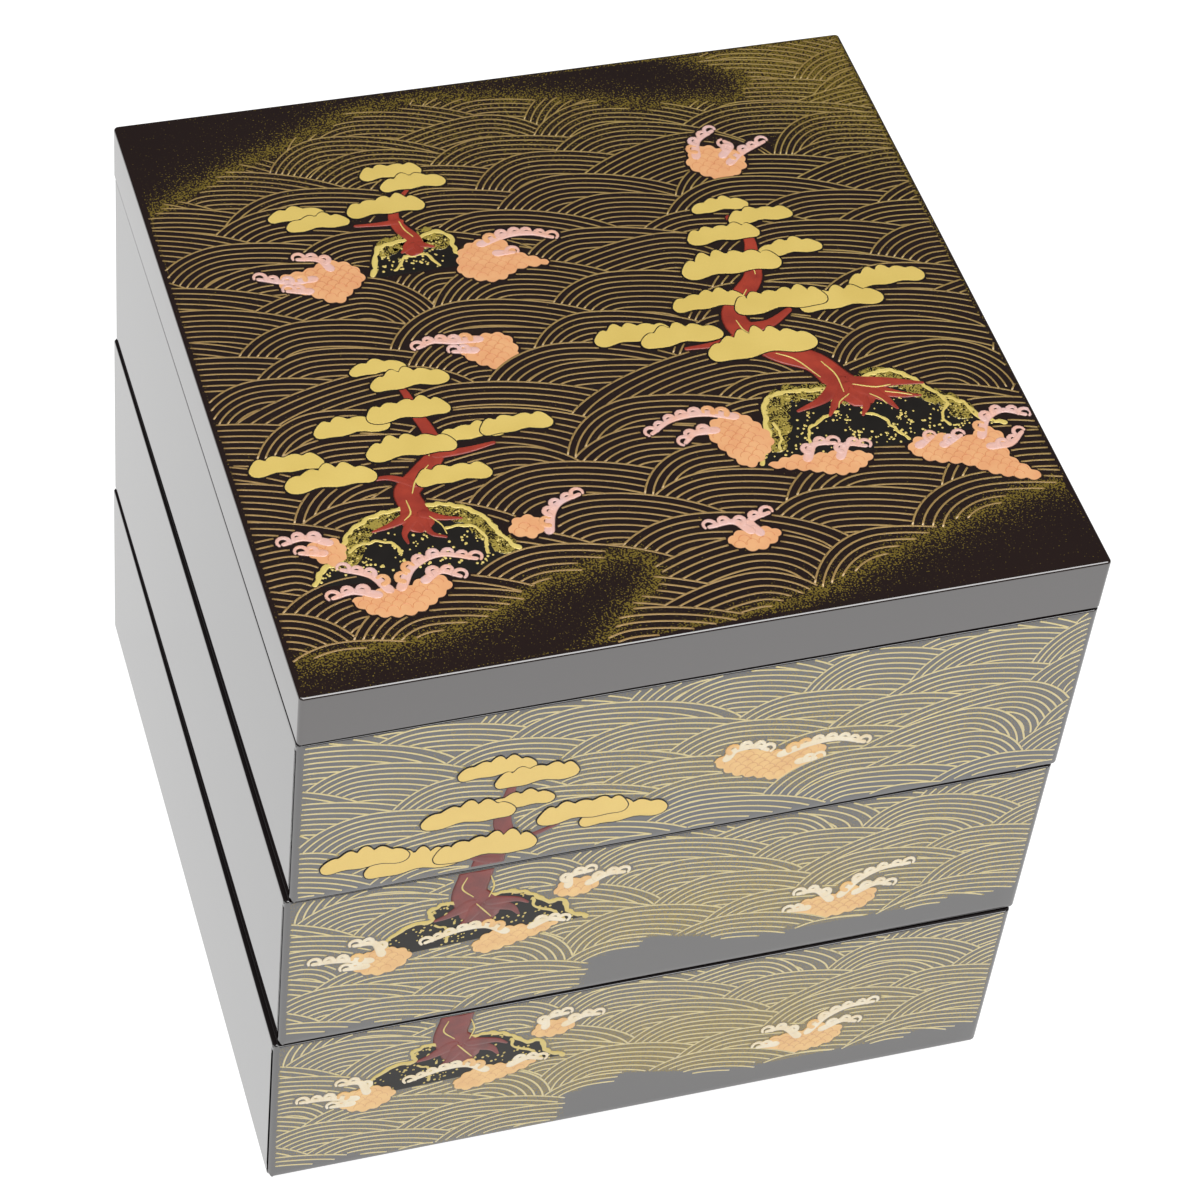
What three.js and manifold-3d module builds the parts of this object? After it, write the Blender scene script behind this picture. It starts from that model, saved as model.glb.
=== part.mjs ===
// Tiered lacquer box
// Three equal square tiers stand one on another, and a shallow lid closes the top one.
// Each tier's floor steps down as a foot that drops into the mouth of the tier beneath,
// and the lid has a lip that drops into the top tier. All four pieces are hollow.
// Millimetres, +Z up, -Y to the front. The origin is the middle of the bottom tier's foot,
// on the surface that the box stands on.

import * as THREE from 'three';
import { mergeVertices } from 'three/addons/utils/BufferGeometryUtils.js';
import Module from 'manifold-3d';

// Outer sizes
const WIDTH = 196;
const TIER_HEIGHT = 57.3;
const LID_HEIGHT = 16.4;

// Walls and panels
const TIER_WALL = 5.5;
const FLOOR_ABOVE_STEP = 2.5;
const LID_PANEL = 4.5;
const LIP_WALL = 2.2;

// Steps that nest the pieces
const FOOT_DEPTH = 3;
const LIP_DEPTH = 3;

// Clearances between the pieces
const NEST_PLAY = 1.5;
const REST_GAP = 0.3;

// Rounded edges
const CORNER_RADIUS = 1.2;
const TIER_LOWER_RADIUS = 1.8;
const TIER_RIM_RADIUS = 0.3;
const LID_LOWER_RADIUS = 0.7;
const LID_TOP_RADIUS = 1;
const MOUTH_CORNER_RADIUS = 3;
const FLOOR_FILLET = 2;
const FOOT_EDGE_RADIUS = 0.8;

// How far a cutting block runs past the mouth that it opens
const CUT_PAST = 4;

// Each rounded quarter is cut into twice this many flats
const ARC_STEPS = 3;

// Vertices closer together than this are one
const WELD_DISTANCE = 0.0001;

// Each piece sits a little askew on the one beneath, by these shares of the nesting play.
// In a row, the sizes of the shares stay under 1 in all, so a foot never touches its mouth.
const ASKEW = [
  { name: 'bottom_tier', right: 0, back: 0, turn: 0 },
  { name: 'middle_tier', right: 0.53, back: 0.25, turn: 0.25 },
  { name: 'top_tier', right: 0.54, back: -0.1, turn: 0.19 },
  { name: 'lid', right: -0.05, back: 0.03, turn: 0.1 },
];

// Sizes that follow from the values above
const MOUTH_WIDTH = WIDTH - 2 * TIER_WALL;
const FOOT_WIDTH = MOUTH_WIDTH - 2 * NEST_PLAY;
const LID_HOLLOW_WIDTH = FOOT_WIDTH - 2 * LIP_WALL;
const TIER_PITCH = TIER_HEIGHT + REST_GAP;
const TURN_AT_FULL_PLAY = NEST_PLAY / (WIDTH / 2);

const LACQUER = { color: 0x241a17, roughness: 0.12, metalness: 0 };

const wasm = await Module();
wasm.setup();

// A closed three.js geometry as a solid for joining and cutting
function solidFrom(geometry) {
  geometry.deleteAttribute('normal');
  geometry.deleteAttribute('uv');
  const merged = mergeVertices(geometry, WELD_DISTANCE);
  return new wasm.Manifold(new wasm.Mesh({
    numProp: 3,
    vertProperties: merged.attributes.position.array,
    triVerts: new Uint32Array(merged.index.array),
  }));
}

// A finished solid as a three.js geometry
function geometryFrom(solid) {
  const { vertProperties, triVerts } = solid.getMesh();
  const geometry = new THREE.BufferGeometry();
  geometry.setAttribute('position', new THREE.BufferAttribute(vertProperties, 3));
  geometry.setIndex(new THREE.BufferAttribute(triVerts, 1));
  geometry.computeVertexNormals();
  return geometry;
}

// A rectangle with rounded corners, centred on x and standing on y = 0
function roundedRectangle(width, height, lowerRadius, upperRadius) {
  const side = width / 2;
  const shape = new THREE.Shape();
  shape.moveTo(-side + lowerRadius, 0);
  shape.lineTo(side - lowerRadius, 0);
  shape.absarc(side - lowerRadius, lowerRadius, lowerRadius, -Math.PI / 2, 0, false);
  shape.lineTo(side, height - upperRadius);
  shape.absarc(side - upperRadius, height - upperRadius, upperRadius, 0, Math.PI / 2, false);
  shape.lineTo(-side + upperRadius, height);
  shape.absarc(-side + upperRadius, height - upperRadius, upperRadius, Math.PI / 2, Math.PI, false);
  shape.lineTo(-side, lowerRadius);
  shape.absarc(-side + lowerRadius, lowerRadius, lowerRadius, Math.PI, Math.PI * 1.5, false);
  return shape;
}

function extruded(shape, depth) {
  return new THREE.ExtrudeGeometry(shape, { depth, curveSegments: ARC_STEPS, bevelEnabled: false });
}

// A square block from z = 0 up. Its plan has round corners, and its side profile, which is
// the same from the front and from the side, has round lower and upper edges.
function roundedBlock({ width, height, corner, lower, upper }) {
  const plan = extruded(roundedRectangle(width, width, corner, corner), height);
  plan.translate(0, -width / 2, 0);
  const acrossFront = extruded(roundedRectangle(width, height, lower, upper), width);
  acrossFront.rotateX(Math.PI / 2);
  acrossFront.translate(0, width / 2, 0);
  const acrossSide = acrossFront.clone();
  acrossSide.rotateZ(Math.PI / 2);
  return solidFrom(plan).intersect(solidFrom(acrossFront)).intersect(solidFrom(acrossSide));
}

// The step under a tier's floor or under the lid, which drops into the mouth beneath
function nestingStep(depth, rootHeight) {
  const step = roundedBlock({
    width: FOOT_WIDTH,
    height: depth + rootHeight,
    corner: MOUTH_CORNER_RADIUS,
    lower: FOOT_EDGE_RADIUS,
    upper: TIER_RIM_RADIUS,
  });
  return step.translate([0, 0, -depth]);
}

// One tier, with z = 0 at the lower edge of its wall
function tierSolid() {
  const shell = roundedBlock({
    width: WIDTH,
    height: TIER_HEIGHT,
    corner: CORNER_RADIUS,
    lower: TIER_LOWER_RADIUS,
    upper: TIER_RIM_RADIUS,
  });
  const cavity = roundedBlock({
    width: MOUTH_WIDTH,
    height: TIER_HEIGHT - FLOOR_ABOVE_STEP + CUT_PAST,
    corner: MOUTH_CORNER_RADIUS,
    lower: FLOOR_FILLET,
    upper: FLOOR_FILLET,
  });
  const foot = nestingStep(FOOT_DEPTH, FLOOR_ABOVE_STEP);
  return shell.add(foot).subtract(cavity.translate([0, 0, FLOOR_ABOVE_STEP]));
}

// The lid, with z = 0 at the lower edge of its side
function lidSolid() {
  const cover = roundedBlock({
    width: WIDTH,
    height: LID_HEIGHT,
    corner: CORNER_RADIUS,
    lower: LID_LOWER_RADIUS,
    upper: LID_TOP_RADIUS,
  });
  const hollowHeight = LID_HEIGHT - LID_PANEL;
  const hollow = roundedBlock({
    width: LID_HOLLOW_WIDTH,
    height: CUT_PAST + LIP_DEPTH + hollowHeight,
    corner: MOUTH_CORNER_RADIUS,
    lower: FLOOR_FILLET,
    upper: FLOOR_FILLET,
  });
  const lip = nestingStep(LIP_DEPTH, hollowHeight);
  return cover.add(lip).subtract(hollow.translate([0, 0, -LIP_DEPTH - CUT_PAST]));
}

function pieceMesh(name, solid) {
  const mesh = new THREE.Mesh(geometryFrom(solid), new THREE.MeshStandardMaterial(LACQUER));
  mesh.name = name;
  return mesh;
}

// Each piece is set down in the group of the one beneath, so it moves with all below it
const box = new THREE.Group();
let carrier = box;
ASKEW.forEach(({ name, right, back, turn }, level) => {
  const seat = new THREE.Group();
  const rise = level === 0 ? FOOT_DEPTH : TIER_PITCH;
  seat.position.set(right * NEST_PLAY, back * NEST_PLAY, rise);
  seat.rotation.z = turn * TURN_AT_FULL_PLAY;
  seat.add(pieceMesh(name, name === 'lid' ? lidSolid() : tierSolid()));
  carrier.add(seat);
  carrier = seat;
});

export default box;
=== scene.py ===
# %% [markdown]
# # A tiered lacquer box with pines and waves
# Three square tiers stand one on another under a flat lid. The lacquer is nearly black and
# polished, and the picture on it is laid on top: thin lines of gold for the waves, flat gold
# pads for the pines, red trunks, and peach-coloured crests. The picture is real geometry
# here, a quarter of a millimetre thick at most, so its edges stay crisp at any distance.

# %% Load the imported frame
import math

import bmesh
import bpy
import numpy as np
from mathutils import Matrix, Vector


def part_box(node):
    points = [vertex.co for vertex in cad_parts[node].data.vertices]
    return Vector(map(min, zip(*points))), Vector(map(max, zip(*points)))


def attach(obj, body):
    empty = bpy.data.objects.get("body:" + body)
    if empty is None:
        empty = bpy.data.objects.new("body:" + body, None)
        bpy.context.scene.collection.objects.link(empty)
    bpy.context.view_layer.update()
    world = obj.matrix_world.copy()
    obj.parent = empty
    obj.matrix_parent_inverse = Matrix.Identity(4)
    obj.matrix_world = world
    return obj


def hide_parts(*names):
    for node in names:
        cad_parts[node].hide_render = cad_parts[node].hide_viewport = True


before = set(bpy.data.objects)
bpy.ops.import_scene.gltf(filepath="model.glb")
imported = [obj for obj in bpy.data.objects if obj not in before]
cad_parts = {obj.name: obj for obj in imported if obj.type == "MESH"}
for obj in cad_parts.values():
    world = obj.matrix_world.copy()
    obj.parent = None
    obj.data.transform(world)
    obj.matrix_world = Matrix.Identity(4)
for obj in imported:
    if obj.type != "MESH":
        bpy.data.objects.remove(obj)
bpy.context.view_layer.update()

# %% [markdown]
# ## Sizes
# The frame gives every piece its place. A tier's outer side and height come from its box,
# and only what the box can't tell, such as the wall, is written here. All the drawing is
# done in millimetres on a flat panel, and turned into metres when it is laid on the box.

# %% Sizes in millimetres
MM = 0.001
TIERS = ("bottom_tier", "middle_tier", "top_tier")
WALL = 5.5
FLOOR_ABOVE_STEP = 2.5
STEP_DEPTH = 3.0
NEST_PLAY = 1.5
LIP_WALL = 2.2
LID_PANEL = 4.5
PRINT_DEPTH = 0.25

tier_low, tier_high = (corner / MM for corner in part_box("bottom_tier"))
lid_low, lid_high = (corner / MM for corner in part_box("lid"))
WIDTH = tier_high.x - tier_low.x
TIER_HEIGHT = tier_high.z - tier_low.z - STEP_DEPTH
LID_HEIGHT = lid_high.z - lid_low.z - STEP_DEPTH
print(f"outer side {WIDTH:.1f} mm, tier {TIER_HEIGHT:.1f} mm, lid {LID_HEIGHT:.1f} mm")


# %% How each piece stands
def turn_of(node):
    """The small turn of a piece about the vertical, read from the way its front looks."""
    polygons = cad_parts[node].data.polygons
    front = max(polygons, key=lambda polygon: -polygon.normal.y * polygon.area)
    return math.atan2(front.normal.x, -front.normal.y)


def seat_of(node):
    """Carries millimetres in a piece's own frame, with z = 0 at its lower edge, to the scene."""
    low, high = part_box(node)
    middle = (low + high) / 2
    seat = Matrix.Translation((middle.x, middle.y, low.z + STEP_DEPTH * MM))
    return seat @ Matrix.Rotation(turn_of(node), 4, "Z") @ Matrix.Scale(MM, 4)


for node in TIERS + ("lid",):
    print(f"{node}: turned {math.degrees(turn_of(node)):.2f} degrees")

# %% [markdown]
# ## Camera
# The camera's place was worked out once from the straight edges of the box: how far it is
# turned round the box, how high it looks down from, how far off it is and its small roll.
# A long lens from about a metre keeps the perspective gentle.

# %% Camera
CAMERA_AZIMUTH = -22.005
CAMERA_ELEVATION = 47.498
CAMERA_ROLL = 7.509
CAMERA_DISTANCE = 1002.24
CAMERA_RIGHT = 11.90
CAMERA_UP = 4.46
CAMERA_AIM_HEIGHT = 90.0
CAMERA_REACH = 20000.0
SENSOR = 36.0
FOCAL_SHARE = 3.1785


def add_camera():
    azimuth = math.radians(CAMERA_AZIMUTH)
    elevation = math.radians(CAMERA_ELEVATION)
    flat = math.cos(elevation)
    back = Vector((math.sin(azimuth) * flat, -math.cos(azimuth) * flat, math.sin(elevation)))
    level_right = Vector((0, 0, 1)).cross(back).normalized()
    turned = Matrix.Rotation(math.radians(CAMERA_ROLL), 3, back)
    right = turned @ level_right
    up = back.cross(right)
    aim = Vector((0, 0, CAMERA_AIM_HEIGHT)) + CAMERA_RIGHT * right + CAMERA_UP * up
    data = bpy.data.cameras.new("camera")
    data.sensor_fit = "HORIZONTAL"
    data.sensor_width = SENSOR
    data.lens = SENSOR * FOCAL_SHARE
    data.clip_end = CAMERA_REACH * MM
    camera = bpy.data.objects.new("camera", data)
    bpy.context.collection.objects.link(camera)
    axes = Matrix((right, up, back)).transposed().to_4x4()
    camera.matrix_world = Matrix.Translation((aim + CAMERA_DISTANCE * back) * MM) @ axes
    bpy.context.scene.camera = camera
    return camera


camera = add_camera()
print("camera at", [round(c, 3) for c in camera.location], "lens", round(camera.data.lens, 1), "mm")

# %% [markdown]
# ## Shader sums
# A procedural finish is mostly arithmetic on numbers that change over the surface. Wiring
# Math nodes by hand hides that arithmetic, so a small class wraps a socket, and an ordinary
# Python sum on it adds the Math nodes. Every other node comes from one method.


# %% A wire that can be used in a sum
class Wire:
    """An output socket. Sums with numbers and other wires add Math nodes to its finish."""

    def __init__(self, finish, socket):
        self.finish = finish
        self.socket = socket

    def maths(self, operation, *values):
        return self.finish.node("ShaderNodeMath", {"operation": operation}, dict(enumerate(values)))

    def __add__(self, other):
        return self.maths("ADD", self, other)

    def __sub__(self, other):
        return self.maths("SUBTRACT", self, other)

    def __mul__(self, other):
        return self.maths("MULTIPLY", self, other)

    def __rsub__(self, other):
        return self.maths("SUBTRACT", other, self)

    def held(self):
        """The value kept between 0 and 1."""
        return self.maths("MAXIMUM", self.maths("MINIMUM", self, 1.0), 0.0)


# %% A finish, which is a material and the one way to add nodes to it
class Finish:
    def __init__(self, name, **fixed):
        self.material = bpy.data.materials.new(name)
        self.material.use_nodes = True
        self.nodes = self.material.node_tree.nodes
        self.links = self.material.node_tree.links
        self.shader = self.nodes["Principled BSDF"]
        for socket, value in fixed.items():
            self.shader.inputs[socket.replace("_", " ")].default_value = value
        at = self.node("ShaderNodeTexCoord", output="Object")
        self.at = self.node("ShaderNodeVectorMath", {"operation": "SCALE"}, {"Vector": at, "Scale": 1 / MM})

    def give(self, socket, value):
        if isinstance(value, Wire):
            self.links.new(value.socket, socket)
        else:
            socket.default_value = value

    def node(self, kind, settings=None, sockets=None, output=0):
        made = self.nodes.new(kind)
        for name, value in (settings or {}).items():
            setattr(made, name, value)
        by_name = {socket.identifier: socket for socket in made.inputs}
        for name, value in (sockets or {}).items():
            self.give(made.inputs[name] if isinstance(name, int) else by_name[name], value)
        found = [socket for socket in made.outputs if socket.identifier == output]
        return Wire(self, found[0] if found else made.outputs[output])

    def noise(self, size, detail, roughness=0.5):
        """Soft noise from 0 to 1 whose features are about this many millimetres across."""
        sockets = {"Vector": self.at, "Scale": 1 / size, "Detail": detail, "Roughness": roughness}
        return self.node("ShaderNodeTexNoise", None, sockets, output="Fac")

    def mix(self, share, first, second):
        """From the first colour at 0 to the second at 1."""
        sockets = {"Factor_Float": share, "A_Color": first, "B_Color": second}
        return self.node("ShaderNodeMix", {"data_type": "RGBA"}, sockets, output="Result_Color")

    def set(self, socket, value):
        self.give(self.shader.inputs[socket], value)

    def bump(self, height, depth):
        """Tilts the surface by a height from 0 to 1 that stands for this many millimetres."""
        self.set("Normal", self.node("ShaderNodeBump", None, {"Height": height, "Distance": depth * MM}))


def tint(red, green, blue):
    """A colour as seen on a screen, from 0 to 255, turned by the sRGB curve into linear light."""
    return tuple((c / 255 / 12.92) if c < 11 else ((c / 255 + 0.055) / 1.055) ** 2.4
                 for c in (red, green, blue)) + (1.0,)


print("a mid grey of 128 is", round(tint(128, 128, 128)[0], 3), "in linear light")

# %% [markdown]
# ## Finishes
# The lacquer's whole gloss is its clear coat. It mirrors more at a glancing angle, so the left
# side, which the camera sees most aslant, looks the palest. Gold powder in lacquer is neither
# plain metal nor plain paint: it is a little metallic, rough, and grainy. The sides have copies
# of the golds and paints, made lighter or darker as painted light and shade, so that they look
# right beside all that grey.

# %% Lacquer and gold
COAT_ROUGHNESS = 0.03
COAT_IOR = 2.2
BINDER_IOR = 1.5
FLOW_SIZE = 38
RIPPLE_SIZE = 5
POWDER_SIZE = 1.6
POWDER_LIGHT = tint(160, 138, 58)
POWDER_DEEP = tint(104, 88, 32)
GOLD_CLOUD_SIZE = 14
PAINT_PATCH_SIZE = 4.5
PAINT_GRAIN_SIZE = 0.5
MOSS_PATCH_SIZE = 2.6
MOSS_GRAIN_SIZE = 0.42
GROUND_PATCH_SIZE = 3
GROUND_SHEEN = tint(30, 27, 24)
DUST_WEIGHT = 0.46
DUST_CUTOFF = 0.8
GRAIN_CONTRAST = 9
LACQUER_RIPPLE = 0.006
GOLD_RELIEF = 0.02
PAINT_RELIEF = 0.015
MOSS_RELIEF = 0.01


def lacquer_finish(name, body, sheen, grain):
    """Polished lacquer. Where the dust attribute is high, gold powder covers it grain by grain."""
    finish = Finish(name, Coat_Roughness=COAT_ROUGHNESS, Coat_IOR=COAT_IOR, Specular_IOR_Level=0.0)
    flow = finish.noise(FLOW_SIZE, 3)
    ripple = finish.noise(RIPPLE_SIZE, 1)
    grains = finish.noise(grain, 1, 0.4)
    dust = finish.node("ShaderNodeAttribute", {"attribute_name": "dust"}, output="Fac")
    covered = ((grains + dust * DUST_WEIGHT - DUST_CUTOFF) * GRAIN_CONTRAST).held()
    gold = finish.mix(finish.noise(POWDER_SIZE, 2), POWDER_DEEP, POWDER_LIGHT)
    ground = finish.mix(flow, body, sheen)
    finish.set("Base Color", finish.mix(covered, ground, gold))
    finish.set("Metallic", covered * 0.45)
    finish.set("Coat Weight", 1 - covered * 0.5)
    finish.set("Roughness", flow * 0.05 + 0.06 + covered * 0.34)
    finish.bump(ripple * 0.5 + covered * 0.5, LACQUER_RIPPLE)
    return finish.material


def gold_finish(name, light, deep, far_light=None, grain=0.35, metal=0.2,
                coat=(0.7, BINDER_IOR)):
    """Grainy gold under a coat of (weight, IOR). A far colour, if any, takes over at the back right."""
    finish = Finish(name, Coat_Weight=coat[0], Coat_IOR=coat[1], Coat_Roughness=0.08, IOR=BINDER_IOR)
    grains = finish.noise(grain, 2, 0.6)
    clouds = finish.noise(GOLD_CLOUD_SIZE, 2)
    if far_light:
        across = finish.node("ShaderNodeSeparateXYZ", None, {"Vector": finish.at}, output="X")
        back = finish.node("ShaderNodeSeparateXYZ", None, {"Vector": finish.at}, output="Y")
        light = finish.mix((across * 0.003 + back * 0.005 + 0.5).held(), light, far_light)
    finish.set("Base Color", finish.mix((clouds * 0.9 + grains * 0.6 - 0.35).held(), deep, light))
    finish.set("Metallic", grains * 0.25 + metal - 0.12)
    finish.set("Roughness", 0.52 - grains * 0.22)
    finish.bump(grains, GOLD_RELIEF)
    return finish.material


def paint_finish(name, light, deep, coat=0.7):
    """Paint that is a little uneven, and grainy close up."""
    finish = Finish(name, Coat_Weight=coat, Coat_Roughness=0.1, IOR=BINDER_IOR)
    grains = finish.noise(PAINT_GRAIN_SIZE, 2, 0.6)
    patches = finish.noise(PAINT_PATCH_SIZE, 2)
    finish.set("Base Color", finish.mix((patches * 1.5 + grains * 0.4 - 0.45).held(), deep, light))
    finish.set("Roughness", 0.5 - grains * 0.15)
    finish.bump(grains, PAINT_RELIEF)
    return finish.material


def moss_finish(name, ground, gold):
    """Gold powder on a rock, thick in patches and breaking up into grains."""
    finish = Finish(name, Coat_Weight=0.8, Coat_Roughness=0.06, IOR=BINDER_IOR)
    patches = finish.noise(MOSS_PATCH_SIZE, 2)
    grains = finish.noise(MOSS_GRAIN_SIZE, 1)
    covered = ((patches * 1.1 + grains * 1.2 - 1.05) * 7).held()
    finish.set("Base Color", finish.mix(covered, ground, gold))
    finish.set("Metallic", covered * 0.3)
    finish.set("Roughness", covered * 0.3 + 0.12)
    finish.bump(covered, MOSS_RELIEF)
    return finish.material


def matte_finish(name, ground):
    """Dark ground with little shine."""
    finish = Finish(name, Coat_Weight=0.2, Coat_Roughness=0.12, IOR=1.3, Roughness=0.5)
    finish.set("Base Color", finish.mix(finish.noise(GROUND_PATCH_SIZE, 2), ground, GROUND_SHEEN))
    return finish.material


FINISHES = {
    "tier_lacquer": lacquer_finish("tier_lacquer", tint(22, 17, 18), tint(30, 23, 23), 0.3),
    "lid_lacquer": lacquer_finish("lid_lacquer", tint(26, 13, 11), tint(34, 19, 16), 0.44),
    "wave_gold": gold_finish("wave_gold", tint(192, 156, 100), tint(152, 123, 74),
                             far_light=tint(174, 152, 80), grain=0.5),
    "pad_gold": gold_finish("pad_gold", tint(240, 213, 124), tint(218, 189, 98),
                            grain=0.3, metal=0.15),
    "edge_gold": gold_finish("edge_gold", tint(244, 224, 134), tint(218, 192, 100), grain=0.3),
    "trunk_red": paint_finish("trunk_red", tint(172, 62, 42), tint(132, 40, 30)),
    "crest_peach": paint_finish("crest_peach", tint(232, 178, 126), tint(222, 156, 108)),
    "foam_pink": paint_finish("foam_pink", tint(222, 188, 186), tint(232, 174, 146)),
    "crest_orange": paint_finish("crest_orange", tint(214, 134, 82), tint(200, 114, 68)),
    "rock_ground": matte_finish("rock_ground", tint(20, 17, 15)),
    "moss_dust": moss_finish("moss_dust", tint(24, 19, 15), tint(176, 156, 70)),
    # The side finishes are copies of the lid's, retinted for how the sides are lit: the wave gold, peach,
    # pink and orange are lighter (painted light), the trunk red and edge gold darker (painted shade).
    "side_wave_gold": gold_finish("side_wave_gold", tint(214, 192, 104), tint(194, 172, 92),
                                  coat=(1.0, COAT_IOR)),
    "side_pad_gold": gold_finish("side_pad_gold", tint(236, 204, 106), tint(224, 188, 92), grain=0.3),
    "side_edge_gold": gold_finish("side_edge_gold", tint(222, 200, 108), tint(204, 178, 90), grain=0.3),
    "side_trunk_red": paint_finish("side_trunk_red", tint(140, 42, 30), tint(100, 28, 24), coat=0.3),
    "side_crest_peach": paint_finish("side_crest_peach", tint(246, 202, 126), tint(232, 176, 104)),
    "side_foam_pink": paint_finish("side_foam_pink", tint(248, 238, 214), tint(238, 214, 168)),
    "side_crest_orange": paint_finish("side_crest_orange", tint(222, 156, 92), tint(208, 138, 78)),
}
print(len(FINISHES), "finishes:", ", ".join(FINISHES))

# %% [markdown]
# ## The tiers and the lid
# Each tier starts as a cube. Its top face is inset by the wall and pushed down to hollow it,
# and its underside is inset and pushed out as the step that nests in the tier beneath.
# Bevels come last: the upright corners first, so that the level edges run round them. The
# outside is taken in by the thickness of the picture, so the picture stays inside the size.
# In this section half of a width is called a reach.

# %% Reaches and rounded edges in millimetres
OUTER_REACH = WIDTH / 2 - PRINT_DEPTH
MOUTH_REACH = WIDTH / 2 - WALL
FOOT_REACH = MOUTH_REACH - NEST_PLAY
HOLLOW_REACH = FOOT_REACH - LIP_WALL
TIER_CORNER = 1.6
TIER_LOWER_EDGE = 1.5
TIER_RIM = 0.3
LID_CORNER = 1.2
LID_TOP_EDGE = 1
LID_LOWER_EDGE = 0.7
MOUTH_CORNER = 3
MOUTH_RIM = 0.4
HOLLOW_CORNER = 2.5
INNER_FILLET = 2
FOOT_EDGE = 0.8
CORNER_STEPS = 5
EDGE_STEPS = 3
RIM_STEPS = 2
TOUCH = 0.01
LOOP_BAND = 1
SHARP_ANGLE = 0.6
print(f"mouth {2 * MOUTH_REACH:.1f} mm wide, foot {2 * FOOT_REACH:.1f} mm wide")


# %% Cutting and rounding a block
def square_block(width, low, high):
    bm = bmesh.new()
    verts = bmesh.ops.create_cube(bm, size=1)["verts"]
    bmesh.ops.scale(bm, vec=(width, width, high - low), verts=verts)
    bmesh.ops.translate(bm, vec=(0, 0, (low + high) / 2), verts=verts)
    return bm


def end_face(bm, up):
    return max(bm.faces, key=lambda face: up * face.calc_center_median().z)


def push_step(bm, face, inset, move):
    """Insets a level face and pushes what is left along z. A push into the block hollows it."""
    bmesh.ops.inset_region(bm, faces=[face], thickness=inset, use_even_offset=True)
    pushed = bmesh.ops.extrude_discrete_faces(bm, faces=[face])["faces"][0]
    bmesh.ops.translate(bm, vec=(0, 0, move), verts=pushed.verts)
    return pushed


def reach_of(vert):
    return max(abs(vert.co.x), abs(vert.co.y))


def frame_side(bm, facing, margin):
    """Insets a flat side, so that a plain square is left that no rounding reaches."""
    side = max(bm.faces, key=lambda face: face.calc_center_median().dot(facing) * face.normal.dot(facing))
    bmesh.ops.inset_region(bm, faces=[side], thickness=margin, use_even_offset=True)


def round_edges(bm, edges, radius, steps):
    bmesh.ops.bevel(bm, geom=edges, offset=radius, offset_type="OFFSET", segments=steps,
                    profile=0.5, affect="EDGES", material=-1, clamp_overlap=True)


def round_uprights(bm, reach, radius):
    """Rounds the four upright edges that stand at a reach to each side."""
    def is_corner(vert):
        return abs(abs(vert.co.x) - reach) < TOUCH and abs(abs(vert.co.y) - reach) < TOUCH
    edges = [e for e in bm.edges if all(map(is_corner, e.verts))
             and abs(e.verts[0].co.z - e.verts[1].co.z) > TOUCH]
    round_edges(bm, edges, radius, CORNER_STEPS)


def round_loop(bm, reach, height, radius, steps):
    """Rounds the sharp edges that run round the block at a height and a reach."""
    def on_loop(vert):
        return abs(vert.co.z - height) < TOUCH and reach - LOOP_BAND < reach_of(vert) < reach + TOUCH
    edges = [e for e in bm.edges if all(map(on_loop, e.verts)) and e.calc_face_angle(0) > SHARP_ANGLE]
    round_edges(bm, edges, radius, steps)


# %% A tier and the lid
SIDE_MARGIN = 1.9
PICTURED = (0, 2)
SIDE_TURNS = [Matrix.Rotation(quarter * math.pi / 2, 3, "Z") for quarter in range(4)]
SIDE_FACINGS = [turn @ Vector((0, -1, 0)) for turn in SIDE_TURNS]


def tier_block():
    bm = square_block(2 * OUTER_REACH, 0, TIER_HEIGHT)
    push_step(bm, end_face(bm, 1), OUTER_REACH - MOUTH_REACH, FLOOR_ABOVE_STEP - TIER_HEIGHT)
    push_step(bm, end_face(bm, -1), OUTER_REACH - FOOT_REACH, -STEP_DEPTH)
    for facing in SIDE_FACINGS:
        frame_side(bm, facing, SIDE_MARGIN)
    round_uprights(bm, OUTER_REACH, TIER_CORNER)
    round_uprights(bm, MOUTH_REACH, MOUTH_CORNER)
    round_uprights(bm, FOOT_REACH, MOUTH_CORNER)
    round_loop(bm, OUTER_REACH, 0, TIER_LOWER_EDGE, CORNER_STEPS)
    round_loop(bm, OUTER_REACH, TIER_HEIGHT, TIER_RIM, RIM_STEPS)
    round_loop(bm, MOUTH_REACH, TIER_HEIGHT, MOUTH_RIM, RIM_STEPS)
    round_loop(bm, MOUTH_REACH, FLOOR_ABOVE_STEP, INNER_FILLET, CORNER_STEPS)
    round_loop(bm, FOOT_REACH, -STEP_DEPTH, FOOT_EDGE, EDGE_STEPS)
    return bm


def lid_block():
    top = LID_HEIGHT - PRINT_DEPTH
    bm = square_block(2 * OUTER_REACH, 0, top)
    lip = push_step(bm, end_face(bm, -1), OUTER_REACH - FOOT_REACH, -STEP_DEPTH)
    push_step(bm, lip, LIP_WALL, STEP_DEPTH + LID_HEIGHT - LID_PANEL)
    frame_side(bm, Vector((0, 0, 1)), SIDE_MARGIN)
    round_uprights(bm, OUTER_REACH, LID_CORNER)
    round_uprights(bm, FOOT_REACH, MOUTH_CORNER)
    round_uprights(bm, HOLLOW_REACH, HOLLOW_CORNER)
    round_loop(bm, OUTER_REACH, top, LID_TOP_EDGE, CORNER_STEPS)
    round_loop(bm, OUTER_REACH, 0, LID_LOWER_EDGE, EDGE_STEPS)
    round_loop(bm, FOOT_REACH, -STEP_DEPTH, FOOT_EDGE, EDGE_STEPS)
    round_loop(bm, HOLLOW_REACH, LID_HEIGHT - LID_PANEL, INNER_FILLET, CORNER_STEPS)
    return bm


def show(name, mesh, finish):
    """Makes a mesh an object that rides on the box, with a finish."""
    mesh.materials.append(FINISHES[finish])
    piece = bpy.data.objects.new(name, mesh)
    bpy.context.collection.objects.link(piece)
    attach(piece, "root")
    return piece


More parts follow.
